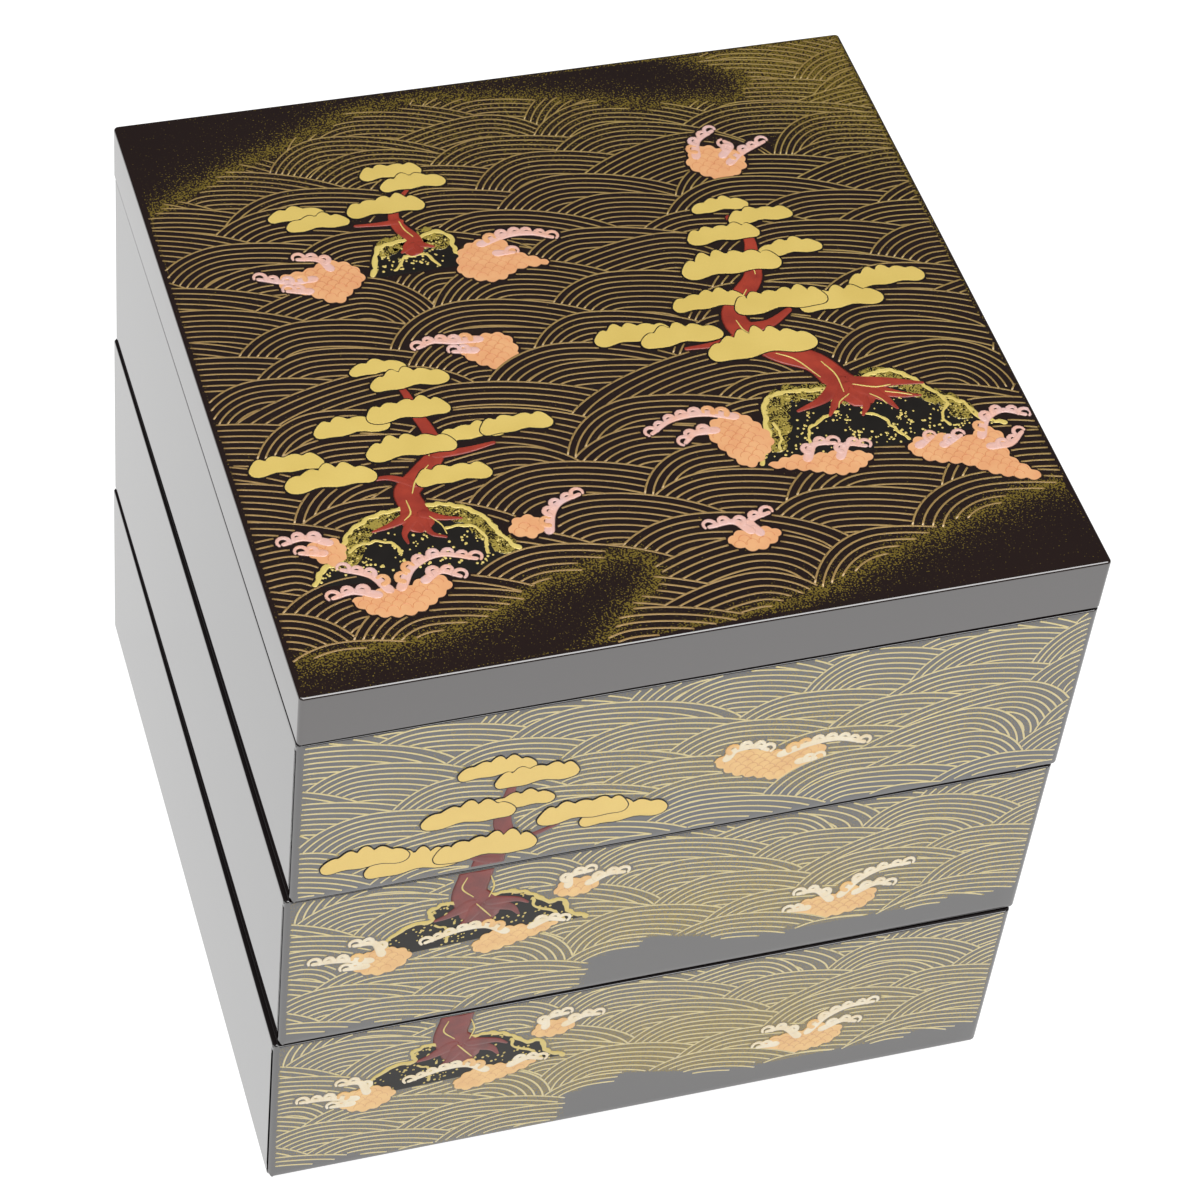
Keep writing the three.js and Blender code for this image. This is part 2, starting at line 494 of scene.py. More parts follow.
# %% [markdown]
# ## Drawing on a panel
# The lid's top and the sides of the tiers are flat panels. On a panel u runs to the right, v
# runs up (or back, on the lid) and w stands out of it, all in millimetres. A panel knows
# what is drawn on it, and lays every mesh on the box in one go.


# %% A panel
FAR_OFF = 1e3
LID_EDGE = 1.2
SIDE_EDGE = 1.7
RIM_EDGE = 0.5


class Panel:
    """A flat side of the box that carries part of the picture."""

    def __init__(self, name, place, half_width, low, high, clouds):
        self.name = name
        self.place = place
        self.half_width = half_width
        self.low = low
        self.high = high
        self.clouds = clouds
        self.swells = []
        self.covers = []

    def holds(self, u, v):
        return (abs(u) <= self.half_width) & (v >= self.low) & (v <= self.high)

    def cloud_distance(self, u, v):
        """How far a point is from the nearest cloud, less than zero inside it."""
        nearest = np.full(np.shape(u), FAR_OFF)
        for balls in self.clouds:
            for (u0, v0, r0), (u1, v1, r1) in zip(balls, balls[1:]):
                du, dv = u1 - u0, v1 - v0
                share = np.clip(((u - u0) * du + (v - v0) * dv) / (du * du + dv * dv), 0, 1)
                away = np.hypot(u - u0 - share * du, v - v0 - share * dv)
                nearest = np.minimum(nearest, away - r0 - share * (r1 - r0))
        return nearest


def lid_panel():
    place = seat_of("lid") @ Matrix.Translation((0, 0, LID_HEIGHT - PRINT_DEPTH))
    side = OUTER_REACH - LID_EDGE
    return Panel("lid", place, side, -side, side, LID_CLOUDS)


def side_panel(tier, quarter, clouds):
    """A side of a tier: 0 is the front, and each quarter turn goes on to the right."""
    out = Matrix(((1, 0, 0, 0), (0, 0, -1, -OUTER_REACH), (0, 1, 0, 0), (0, 0, 0, 1)))
    place = seat_of(tier) @ Matrix.Rotation(quarter * math.pi / 2, 4, "Z") @ out
    name = f"{tier}_{quarter}"
    return Panel(name, place, OUTER_REACH - SIDE_EDGE, SIDE_EDGE, TIER_HEIGHT - RIM_EDGE, clouds)


# %% [markdown]
# ## Clouds
# Bare lacquer drifts through the waves as clouds with soft edges. A cloud is a string of
# balls, given by place and radius, and the space between two balls is filled to match.

# %% Cloud shapes
LID_CLOUDS = (
    ((-112, 98, 39), (-72, 108, 30), (-45, 118, 28), (-18, 122, 29), (12, 110, 23), (40, 92, 13),
     (60, 84, 7)),
    ((-112, -114, 27), (-65, -104, 19), (-45, -95, 14), (-30, -85, 11), (-15, -77, 7)),
    ((-10, -117, 20), (30, -113, 22), (60, -105, 25), (90, -100, 29), (118, -100, 31)),
)
SIDE_CLOUDS = (
    ((-12, 5, 8.5), (-2, 5, 11), (12, 3, 9), (30, -2, 11), (60, -4, 13), (112, -4, 13.5)),
    ((-112, -6, 11), (-80, -7, 11), (-68, -8, 8)),
)
print(len(LID_CLOUDS), "clouds on the lid,", len(SIDE_CLOUDS), "on a side")

# %% [markdown]
# ## Waves
# The sea is drawn as swells that overlap like scales, each one a nest of thin arcs. A swell
# is steep on one side and runs out in a long tail on the other. Both halves are a quarter
# of a superellipse, and the inner arcs are the same curve scaled towards the swell's foot,
# with the tails closing up as they run out.
# A swell hides what is drawn farther back, so a line shows only where no nearer swell, no
# cloud and no motif covers it. What is left of it is swept as a thin flat thread of gold.

# %% One swell
STEEP_POWER = 2.0
TAIL_POWER = 1.65
TAIL_CLOSING = 0.8
SAMPLE_STEP = 0.3
HALF_SAMPLES = 400


class Swell:
    """A nest of arcs with its peak at (u, v). Reaches run to its foot, which is drop lower."""

    def __init__(self, u, v, left, right, drop, gap):
        self.u = u
        self.v = v
        self.reach = (left, right)
        self.tail = 1 if right > left else -1
        self.power = (STEEP_POWER, TAIL_POWER)[::self.tail]
        self.drop = drop
        self.gap = gap

    def across(self, u):
        """How far out a place is, where its reach is 1, and the power of the curve there."""
        on_right = u > self.u
        power = np.where(on_right, self.power[1], self.power[0])
        return abs(u - self.u) / np.where(on_right, self.reach[1], self.reach[0]), power

    def scale_at(self, u, v):
        """Which of its arcs runs through a point: 1 is the outermost, and 0 is the foot."""
        across, power = self.across(u)
        up = np.maximum(v - self.v + self.drop, 0) / self.drop
        return (across ** power + up ** power) ** (1 / power)

    def top_at(self, u):
        """The height of its outermost arc above a place, far below where it doesn't reach."""
        across, power = self.across(u)
        rise = np.maximum(1 - across ** power, 0) ** (1 / power)
        return np.where(across < 1, self.v - self.drop + self.drop * rise, -FAR_OFF)

    def outline(self):
        """Points along the outermost arc, evenly spaced, counted from the foot below its peak."""
        angle = np.linspace(0, math.pi / 2, HALF_SAMPLES)
        halves = []
        for side, sign in ((0, -1), (1, 1)):
            power = 2 / self.power[side]
            across = sign * self.reach[side] * np.cos(angle) ** power
            up = self.drop * np.sin(angle) ** power
            halves.append(np.stack((across, up), axis=1))
        curve = np.concatenate((halves[0], halves[1][::-1][1:]))
        along = np.concatenate(((0,), np.cumsum(np.hypot(*np.diff(curve, axis=0).T))))
        even = np.linspace(0, along[-1], int(along[-1] / SAMPLE_STEP))
        return np.stack([np.interp(even, along, curve[:, axis]) for axis in (0, 1)], axis=1)


# %% A sea of swells
STEEP_SHARES = (0.5, 0.66)
TAIL_SHARES = (1.0, 1.3)
HEIGHT_SHARES = (-0.25, 0.25)
DROP_SHARES = (0.85, 1.15)
SPACING_SHARES = (0.8, 1.2)
FLIPPED_SHARE = 0.14
ROWS_BELOW = 3
ROW_START = 1.3
ROW_SHIFT = 0.5
START_JITTER = 0.3


def fill_with_swells(panel, rng, pitch, near, far, drop):
    """Rows of swells from the near edge to the far one. near and far give row step and gap."""
    v = panel.low - ROWS_BELOW * near[0]
    row = 0
    while v < panel.high + drop:
        depth = min(max((v - panel.low) / (panel.high - panel.low), 0), 1)
        step = near[0] + (far[0] - near[0]) * depth
        gap = near[1] + (far[1] - near[1]) * depth
        back = ROW_START + ROW_SHIFT * (row % 2) + START_JITTER * rng.random()
        u = -panel.half_width - pitch * back
        while u < panel.half_width + 2 * pitch:
            steep = pitch * rng.uniform(*STEEP_SHARES)
            tail = pitch * rng.uniform(*TAIL_SHARES)
            sides = (tail, steep) if rng.random() < FLIPPED_SHARE else (steep, tail)
            height = v + step * rng.uniform(*HEIGHT_SHARES)
            panel.swells.append(Swell(u, height, *sides, drop * rng.uniform(*DROP_SHARES), gap))
            u += pitch * rng.uniform(*SPACING_SHARES)
        v += step
        row += 1
    panel.swells.sort(key=lambda swell: swell.v)


# %% What covers a line
LINE_CLEARANCE = 0.45
INSIDE_ONLY = -1.0
TINY = 1e-9


class Cover:
    """A motif's outline on a panel. Swells that peak below its foot lie in front of it."""

    def __init__(self, outline, foot=-FAR_OFF, clearance=LINE_CLEARANCE):
        self.outline = np.array(outline)
        self.foot = foot
        self.clearance = clearance
        self.low = self.outline.min(axis=0) - clearance
        self.high = self.outline.max(axis=0) + clearance

    def hides(self, u, v):
        hidden = np.zeros(u.shape, dtype=bool)
        near = (u > self.low[0]) & (u < self.high[0]) & (v > self.low[1]) & (v < self.high[1])
        if not near.any():
            return hidden
        pu, pv = u[near][:, None], v[near][:, None]
        u0, v0 = self.outline.T
        u1, v1 = np.roll(self.outline, -1, axis=0).T
        spans = (v0 > pv) != (v1 > pv)
        crossing = u0 + (pv - v0) * (u1 - u0) / np.where(v1 == v0, TINY, v1 - v0)
        inside = (spans & (pu < crossing)).sum(axis=1) % 2 == 1
        length = np.maximum((u1 - u0) ** 2 + (v1 - v0) ** 2, TINY)
        share = np.clip(((pu - u0) * (u1 - u0) + (pv - v0) * (v1 - v0)) / length, 0, 1)
        away = np.hypot(pu - u0 - share * (u1 - u0), pv - v0 - share * (v1 - v0)).min(axis=1)
        hidden[near] = inside | (away < self.clearance)
        return hidden


# %% The visible runs of all the arcs
THREAD_STEP = 1.4
SHORTEST_RUN = 2.5
INNERMOST_ARC = 0.1


def visible_runs(panel, rng, fray):
    """Each visible stretch of an arc as its points and its line gap. Fray roughens cloud edges."""
    runs = []
    for index, swell in enumerate(panel.swells):
        nearer = [s for s in panel.swells[:index]
                  if abs(s.u - swell.u) < s.reach[0] + s.reach[1] + swell.reach[0] + swell.reach[1]]
        curve = swell.outline()
        scales = np.arange(1, INNERMOST_ARC, -swell.gap / swell.drop)[:, None]
        closing = np.where(curve[:, 0] * swell.tail > 0, TAIL_CLOSING, 1)
        u = swell.u + scales ** closing * curve[:, 0]
        v = swell.v - swell.drop + scales * curve[:, 1]
        seen = panel.holds(u, v)
        seen &= panel.cloud_distance(u, v) > rng.uniform(-fray, fray, scales.shape)
        for other in nearer:
            if not seen.any():
                break
            seen &= other.scale_at(u, v) > 1
        for cover in panel.covers:
            if swell.v >= cover.foot:
                seen &= ~cover.hides(u, v)
        for arc, scale in enumerate(scales[:, 0]):
            edges = np.flatnonzero(np.diff(np.concatenate(((0,), seen[arc].astype(int), (0,)))))
            stride = max(1, round(THREAD_STEP / (SAMPLE_STEP * scale)))
            for start, end in zip(edges[::2], edges[1::2]):
                if (end - start) * SAMPLE_STEP * scale < SHORTEST_RUN:
                    continue
                picks = sorted({*range(start, end, stride), end - 1})
                runs.append((np.stack((u[arc, picks], v[arc, picks]), axis=1), swell.gap))
    return runs


# %% [markdown]
# ## Threads and strokes
# A line in gold and a brush stroke are the same thing at two sizes: a path with a width at
# each point. A curve object sweeps a section along the path, and its points' radii give the
# width. A stroke is then pressed down to one level, so it has soft shoulders and a flat top.

# %% Sweeping sections along paths
SINK = 0.02
THREAD_HEIGHT = 0.06
THREAD_TOP = 0.34
STROKE_RISE = 0.9
WELD = 1e-4


def section(name, points):
    """A closed curve to sweep, for a width of 1. It runs clockwise, so the sweep faces outwards."""
    data = bpy.data.curves.new(name, "CURVE")
    data.dimensions = "2D"
    spline = data.splines.new("POLY")
    spline.points.add(len(points) - 1)
    for point, (across, up) in zip(spline.points, points):
        point.co = (across, up, 0, 1)
    spline.use_cyclic_u = True
    return bpy.data.objects.new(name, data)


thread_section = section("thread_section", [
    (-THREAD_TOP, THREAD_HEIGHT), (THREAD_TOP, THREAD_HEIGHT), (0.5, -SINK), (-0.5, -SINK)])
stroke_section = section("stroke_section", [
    (-0.5 * math.cos(math.radians(angle)), STROKE_RISE * math.sin(math.radians(angle)))
    for angle in range(0, 181, 36)])


def swept(paths, shape):
    """Sweeps a section along many paths of (u, v, width) points, as one mesh on the panel."""
    data = bpy.data.curves.new("paths", "CURVE")
    data.dimensions = "3D"
    data.twist_mode = "Z_UP"
    data.bevel_mode = "OBJECT"
    data.bevel_object = shape
    data.use_fill_caps = True
    for path in paths:
        spline = data.splines.new("POLY")
        spline.points.add(len(path) - 1)
        places = np.zeros((len(path), 4))
        places[:, :2] = path[:, :2]
        places[:, 3] = 1
        spline.points.foreach_set("co", places.ravel())
        spline.points.foreach_set("radius", np.ascontiguousarray(path[:, 2]))
    carrier = bpy.data.objects.new("paths", data)
    bpy.context.collection.objects.link(carrier)
    mesh = bpy.data.meshes.new_from_object(carrier.evaluated_get(bpy.context.evaluated_depsgraph_get()))
    bpy.data.objects.remove(carrier)
    bm = bmesh.new()
    bm.from_mesh(mesh)
    bpy.data.meshes.remove(mesh)
    bmesh.ops.remove_doubles(bm, verts=bm.verts, dist=WELD)
    return bm


def pressed(bm, level):
    """Flattens what stands above a level, and sinks the underside a little into the lacquer."""
    for vert in bm.verts:
        vert.co.z = min(vert.co.z, level) if vert.co.z > WELD else -SINK
    return bm


def clipped(bm, panel):
    """Cuts a drawing off square at the panel's four edges and closes the cuts."""
    sides = (((panel.half_width, 0, 0), (1, 0, 0)), ((-panel.half_width, 0, 0), (-1, 0, 0)),
             ((0, panel.high, 0), (0, 1, 0)), ((0, panel.low, 0), (0, -1, 0)))
    for place, facing in sides:
        geom = [*bm.verts, *bm.edges, *bm.faces]
        cut = bmesh.ops.bisect_plane(bm, geom=geom, plane_co=place, plane_no=facing, clear_outer=True)
        edges = [item for item in cut["geom_cut"] if isinstance(item, bmesh.types.BMEdge)]
        bmesh.ops.holes_fill(bm, edges=edges, sides=0)
    return bm


# %% Smooth paths from a few points
SPAN_SAMPLES = 16
CAP_ANGLES = (30, 60, 82)


def smooth_path(points, step):
    """A smooth curve through a few points, evenly spaced, carrying their other values along."""
    points = np.array(points, dtype=float)
    ends = np.stack((2 * points[0] - points[1], 2 * points[-1] - points[-2]))
    knots = np.concatenate((ends[:1], points, ends[1:]))
    t = np.linspace(0, 1, SPAN_SAMPLES, endpoint=False)[:, None]
    parts = []
    for a, b, c, d in zip(knots, knots[1:], knots[2:], knots[3:]):
        parts.append(b + 0.5 * t * (c - a + t * (2 * a - 5 * b + 4 * c - d + t * (3 * (b - c) + d - a))))
    curve = np.concatenate((*parts, points[-1:]))
    along = np.concatenate(((0,), np.cumsum(np.hypot(*np.diff(curve[:, :2], axis=0).T))))
    even = np.linspace(0, along[-1], max(int(along[-1] / step), 3) + 1)
    return np.stack([np.interp(even, along, column) for column in curve.T], axis=1)


def round_ended(path):
    """Adds points to a path of (u, v, width) so that the stroke ends in two half circles."""
    caps = []
    for end, inner in ((0, 1), (-1, -2)):
        out = path[end, :2] - path[inner, :2]
        out /= np.hypot(*out)
        width = path[end, 2]
        angles = np.radians(CAP_ANGLES)
        cap = [(*(path[end, :2] + out * width / 2 * math.sin(a)), width * math.cos(a)) for a in angles]
        caps.append(np.array(cap))
    return np.concatenate((caps[0][::-1], path, caps[1]))


def stroke_outline(path):
    """The two edges of a stroke as one closed outline, to hide the waves behind it."""
    along = np.gradient(path[:, :2], axis=0)
    along /= np.maximum(np.hypot(*along.T), TINY)[:, None]
    aside = np.stack((-along[:, 1], along[:, 0]), axis=1) * path[:, 2:3] / 2
    return np.concatenate((path[:, :2] + aside, (path[:, :2] - aside)[::-1]))


# %% [markdown]
# ## Raised shapes
# Pads, crests and rocks are flat islands of gold and colour. Each starts as one face round
# its outline, sunk a little into the lacquer, and is extruded to its level. A pad's top is
# extruded once more on to a smaller outline, its crown, which gives its rim a soft slope.


# %% A raised shape
def raise_shape(bm, outline, level):
    """Extrudes a face up to a level and returns the top, with its corners in outline order."""
    bottom = bm.faces.new([bm.verts.new((u, v, -SINK)) for u, v in outline])
    up = bmesh.ops.extrude_face_region(bm, geom=[bottom], use_keep_orig=True)["geom"]
    top = next(item for item in up if isinstance(item, bmesh.types.BMFace))
    bmesh.ops.translate(bm, vec=(0, 0, level + SINK), verts=top.verts)
    return top


def crown_shape(bm, top, crown, rise):
    """Extrudes a top a little farther, on to a smaller outline of as many corners."""
    raised = bmesh.ops.extrude_discrete_faces(bm, faces=[top])["faces"][0]
    for vert, (u, v) in zip(raised.verts, crown):
        vert.co = (u, v, vert.co.z + rise)


# %% [markdown]
# ## A drawing
# Everything drawn on one panel is gathered by what it is made of. Strokes wait as paths and
# are swept together at the end, because one sweep of a hundred paths is as quick as one.

# %% Parts of the picture
STROKE_STEP = 0.6
HAIR = 0.002
HAIR_LEVELS = 12
FOOT_CLEARANCE = 0.3
SHORE_POINTS = 40
FOOT_RISE = 8
FOOT_SEARCH = 30
FOOT_STEP = 0.5
FEWEST_POINTS = 4

PICTURE_PARTS = {
    "rocks": ("rock_ground", "tier_lacquer"),
    "rock_moss": ("moss_dust", "gold_work"),
    "rock_dots": ("edge_gold", "gold_work"),
    "rock_edges": ("edge_gold", "gold_work"),
    "crest_bodies": ("crest_peach", "colour_work"),
    "crest_lines": ("crest_orange", "colour_work"),
    "crest_curls": ("crest_peach", "colour_work"),
    "crest_foam": ("foam_pink", "colour_work"),
    "pine_trunks": ("trunk_red", "colour_work"),
    "pine_glints": ("edge_gold", "gold_work"),
    "pine_pad_rims": ("rock_ground", "tier_lacquer"),
    "pine_pads": ("pad_gold", "gold_work"),
    "wave_lines": ("wave_gold", "gold_work"),
}


class Drawing:
    """The picture on one panel, as a mesh in progress and a list of strokes for each part."""

    def __init__(self, panel, rng):
        self.panel = panel
        self.rng = rng
        self.meshes = {}
        self.strokes = {}
        self.laid = 0

    def mesh(self, part):
        return self.meshes.setdefault(part, bmesh.new())

    def join(self, part, bm):
        scratch = bpy.data.meshes.new("scratch")
        bm.to_mesh(scratch)
        bm.free()
        self.mesh(part).from_mesh(scratch)
        bpy.data.meshes.remove(scratch)

    def hair(self):
        """A tiny rise, another for each shape, because two faces in one plane flicker."""
        self.laid += 1
        return self.laid % HAIR_LEVELS * HAIR

    def stroke(self, part, points, level, foot=-FAR_OFF, hides=True):
        """A brush stroke through points of (u, v, width). It hides the waves behind its foot."""
        path = smooth_path(points, STROKE_STEP)
        if hides:
            self.panel.covers.append(Cover(stroke_outline(path), foot))
        self.strokes.setdefault((part, level + self.hair()), []).append(round_ended(path))

    def island(self, part, outline, level):
        return raise_shape(self.mesh(part), outline, level)

    def front_profile(self, foot, u):
        """The height below which the swells in front of a foot hide what stands there."""
        tops = [swell.top_at(u) for swell in self.panel.swells if swell.v < foot]
        return np.max(tops, axis=0) if tops else np.full(np.shape(u), -FAR_OFF)

    def washed(self, outline, foot):
        """What is left of an outline above the swells in front, closed along the water's edge."""
        depth = outline[:, 1] - self.front_profile(foot, outline[:, 0]) - FOOT_CLEARANCE
        if depth.min() >= 0:
            return outline
        deepest = depth.argmin()
        above = np.roll(outline, -deepest, axis=0)[np.roll(depth, -deepest) > 0]
        shore = np.linspace(above[-1, 0], above[0, 0], SHORE_POINTS)[1:-1]
        water = self.front_profile(foot, shore) + FOOT_CLEARANCE
        return np.concatenate((above, np.stack((shore, water), axis=1)))

    def settle(self, u, water):
        """The farthest foot at which no swell in front rises over the water at any of the places."""
        highest = water + FOOT_RISE
        feet = np.arange(highest, highest - FOOT_SEARCH, -FOOT_STEP)
        return next(foot for foot in feet if (self.front_profile(foot, np.array(u)) < water).all())

    def finish_strokes(self):
        for (part, level), paths in self.strokes.items():
            self.join(part, clipped(pressed(swept(paths, stroke_section), level), self.panel))
        self.strokes.clear()


# %% [markdown]
# ## Pines
# A pad of pine needles is drawn as a bent bean with a scalloped top. Pads lie over the
# trunk and over each other, and a thin rim of dark lacquer under each keeps them apart.

# %% Heights above the lacquer
ROCK_LEVEL = 0.03
MOSS_LEVEL = 0.055
EDGE_LEVEL = 0.08
TRUNK_LEVEL = 0.105
CREST_LEVEL = 0.105
CREST_LINE_LEVEL = 0.13
GLINT_LEVEL = 0.13
FOAM_LEVEL = 0.16
PAD_LEVEL = 0.157
PAD_LAYER = 0.03
PAD_RISE = 0.025
PAD_LAYERS = 4

# %% A pad
PAD_ASPECT = 0.42
PAD_HALF = 0.36
PAD_DROOP = 0.04
PAD_ARCH = 0.14
PAD_RIPPLE = 0.05
LOBE_WIDTH = 4.2
LOBE_DEPTH = 0.075
LOBE_POINTS = 12
FEWEST_LOBES = 3
SCALLOP_POWER = 0.75
UNEVEN_LOBES = 0.45
UNEVEN_TURNS = 4
RIPPLE_TURNS = 7
TOP_POWER = 2.4
BOTTOM_POWER = 6
LOWER_STRIDE = 3
PAD_RIM = 0.28
PAD_SHOULDER = 0.3
PAD_CLEARANCE = 0.1


def pad_outline(u, v, width, grow=0.0):
    """The bean of a pad round its middle, seen from the front."""
    height = width * PAD_ASPECT
    lobes = max(FEWEST_LOBES, round(width / LOBE_WIDTH))
    across = -np.cos(np.linspace(0, math.pi, LOBE_POINTS * lobes))
    droop = PAD_DROOP * height * across ** 2
    arch = PAD_ARCH * height * (1 - across ** 2)
    uneven = 1 + UNEVEN_LOBES * np.sin(UNEVEN_TURNS * across + u)
    scallops = LOBE_DEPTH * width * np.abs(np.sin(math.pi * lobes * (across + 1) / 2)) ** SCALLOP_POWER
    top_end = np.sqrt(1 - np.abs(across) ** TOP_POWER)
    top = (PAD_HALF * height + scallops * uneven + grow) * top_end - droop
    ripple = PAD_RIPPLE * height * np.sin(RIPPLE_TURNS * across + v) * (1 - across ** 2)
    bottom_end = np.sqrt(1 - across ** BOTTOM_POWER)
    bottom = arch - (PAD_HALF * height + grow) * bottom_end - droop + ripple
    reach = width / 2 + grow
    upper = np.stack((u + reach * across, v + top), axis=1)
    lower = np.stack((u + reach * across, v + bottom), axis=1)
    return np.concatenate((upper[::-1], lower[1:-1:LOWER_STRIDE]))


def draw_pad(drawing, u, v, width, layer):
    """A pad with its dark rim, so many layers up."""
    level = PAD_LEVEL + layer * PAD_LAYER
    top = drawing.island("pine_pads", pad_outline(u, v, width), level - PAD_RISE)
    crown = pad_outline(u, v, width, -PAD_SHOULDER)
    crown_shape(drawing.mesh("pine_pads"), top, crown, PAD_RISE)
    rim = pad_outline(u, v, width, PAD_RIM)
    drawing.island("pine_pad_rims", rim, level - PAD_RISE - HAIR)
    drawing.panel.covers.append(Cover(rim, clearance=PAD_CLEARANCE))


def pad_layers(pads):
    """How many layers up each pad lies: one above the highest that is drawn before and touches it."""
    layers = []
    for u, v, width in pads:
        under = [layer for layer, (u0, v0, width0) in zip(layers, pads)
                 if abs(u - u0) < (width + width0) / 2 and abs(v - v0) < (width + width0) / 2 * PAD_ASPECT]
        layers.append(min(max(under, default=-1) + 1, PAD_LAYERS - 1))
    return layers


# %% A pine
def draw_pine(drawing, pads, limbs, glints=()):
    """Pads of (u, v, width) from back to front, limbs and glints as strokes with widths."""
    for limb in limbs:
        drawing.stroke("pine_trunks", limb, TRUNK_LEVEL)
    for glint in glints:
        drawing.stroke("pine_glints", glint, GLINT_LEVEL, hides=False)
    for (u, v, width), layer in zip(pads, pad_layers(pads)):
        draw_pad(drawing, u, v, width, layer)


# %% [markdown]
# ## Rocks
# Each pine grows on a rock of dark ground speckled with gold. Its broken edge is a thick
# gold stroke that wavers, and the nearest swells wash over its foot.

# %% A rock
ROCK_STROKE = 1.4
CREASE_STROKE = 0.9
MOSS_WIDTH = 6
MOSS_TRIM = 8
BASE_POINTS = 60
WAVER_STEP = 1.1
WAVER_SHIFT = 0.35
WAVER_SWING = 0.3


def wavering(points, width, rng):
    """A stroke of one width through (u, v) points, shaken to and fro and swelling a little."""
    path = smooth_path([(u, v, width) for u, v in points], WAVER_STEP)
    path[:, :2] += rng.uniform(-WAVER_SHIFT, WAVER_SHIFT, path[:, :2].shape)
    path[:, 2] *= 1 + rng.uniform(-WAVER_SWING, WAVER_SWING, len(path))
    return path


def clear_stroke(drawing, part, path, level, foot, **options):
    """Draws the stretch of a path that stands clear of the swells in front."""
    margin = path[:, 2] / 2
    clear = path[path[:, 1] - margin > drawing.front_profile(foot, path[:, 0])]
    if len(clear) >= FEWEST_POINTS:
        drawing.stroke(part, clear, level, foot, **options)


def moved_inward(path, by):
    """A path moved towards its own middle."""
    inward = path[:, :2].mean(axis=0) - path[:, :2]
    moved = path.copy()
    moved[:, :2] += inward / np.hypot(*inward.T)[:, None] * by
    return moved


def draw_rock(drawing, ridge, water, creases=(), mossy=True):
    """A rock under a ridge of (u, v) points, washed by swells that rise up to the water."""
    rng = drawing.rng
    edge = wavering(ridge, ROCK_STROKE, rng)
    foot = drawing.settle(edge[:, 0], water)
    share = np.linspace(0, 1, BASE_POINTS)[1:-1, None]
    base = edge[-1:, :2] * (1 - share) + edge[:1, :2] * share
    outline = drawing.washed(np.concatenate((edge[:, :2], base)), foot)
    cover = Cover(outline, foot)
    drawing.panel.covers.append(cover)
    drawing.island("rocks", outline, ROCK_LEVEL)
    if mossy:
        moss = moved_inward(edge[MOSS_TRIM:-MOSS_TRIM], MOSS_WIDTH / 2)
        moss[:, 2] *= MOSS_WIDTH / ROCK_STROKE
        clear_stroke(drawing, "rock_moss", moss, MOSS_LEVEL, foot, hides=False)
    clear_stroke(drawing, "rock_edges", edge, EDGE_LEVEL, foot)
    for crease in creases:
        line = wavering(crease, CREASE_STROKE, rng)
        clear_stroke(drawing, "rock_edges", line, EDGE_LEVEL, foot)
    speckle(drawing, cover, foot)


# %% Gold dots on a rock
DOTS_IN_CLUSTER = 5
ROCK_PER_DOT = 3.2
CLUSTER_SPREAD = 1.4
DOT_CLEARANCE = 0.8
DOT_RADII = (0.24, 0.5)
DOT_TOP_SHARE = 0.6
DOT_DEPTH = 0.1
DOT_SIDES = 8


def speckle(drawing, cover, foot):
    """Gold dots scattered over a rock, in loose clusters."""
    rng = drawing.rng
    size = cover.high - cover.low
    clusters = max(int(size[0] * size[1] / ROCK_PER_DOT / DOTS_IN_CLUSTER), 1)
    centres = np.repeat(cover.low + rng.random((clusters, 2)) * size, DOTS_IN_CLUSTER, axis=0)
    spots = centres + rng.normal(0, CLUSTER_SPREAD, centres.shape)
    spots = spots[Cover(cover.outline, clearance=INSIDE_ONLY).hides(*spots.T)]
    spots = spots[spots[:, 1] > drawing.front_profile(foot, spots[:, 0]) + DOT_CLEARANCE]
    bm = drawing.mesh("rock_dots")
    for u, v in spots:
        radius = rng.uniform(*DOT_RADII)
        place = Matrix.Translation((u, v, ROCK_LEVEL))
        bmesh.ops.create_cone(bm, cap_ends=True, segments=DOT_SIDES, radius1=radius,
                              radius2=radius * DOT_TOP_SHARE, depth=DOT_DEPTH, matrix=place)


# %% [markdown]
# ## Crests
# Where the sea breaks it is painted in peach and pink. A crest has a lobed body that runs
# down behind the swells in front, and arms of foam that reach out of it. An arm is a
# tapering stroke with a row of round bumps along its back, and each bump curls over.

# %% The body of a crest
CREST_STEP = 0.4
LOBE_LENGTH = 3.2
LOBE_HEIGHT = 0.75
SUNK_SHARE = 0.22


def lobed(points):
    """A closed shape through points that run clockwise, swelling out in round lobes."""
    path = smooth_path([*points, points[0]], CREST_STEP)[:-1]
    step = np.gradient(path, axis=0)
    length = np.hypot(*step.T)
    outward = np.stack((-step[:, 1], step[:, 0]), axis=1) / length[:, None]
    lobes = round(length.sum() / LOBE_LENGTH)
    swell = LOBE_HEIGHT * np.abs(np.sin(math.pi * lobes * np.cumsum(length) / length.sum()))
    return path + outward * swell[:, None]


# %% An arm of foam
ARM_WIDTH = 2.8
TIP_WIDTH = 1.2
PEACH_SHARE = 0.3
BUMP_RADIUS = 1.75
BUMP_SPACING = 3.3
BUMP_REACH = 0.8
BUMP_LIFT = 0.4
TIP_REACH = 1.25
CURL_START = 200
CURL_TURN = 225
CURL_POINTS = 11
CURL_CLOSING = 0.3
CURL_WIDTH = 0.95
CURL_TAPER = 0.4
BUMP_START = 1.15
BUMP_TAPER = 0.35


def curl(centre, ahead, out, radius, reach):
    """A round bump that starts behind its centre, goes over it and curls in under itself."""
    share = np.linspace(0, 1, CURL_POINTS)[:, None]
    angle = np.radians(CURL_START - CURL_TURN * share)
    spread = reach * radius * (1 - CURL_CLOSING * share)
    place = centre + spread * (np.cos(angle) * ahead + np.sin(angle) * out)
    return np.hstack((place, radius * (CURL_WIDTH - CURL_TAPER * share)))


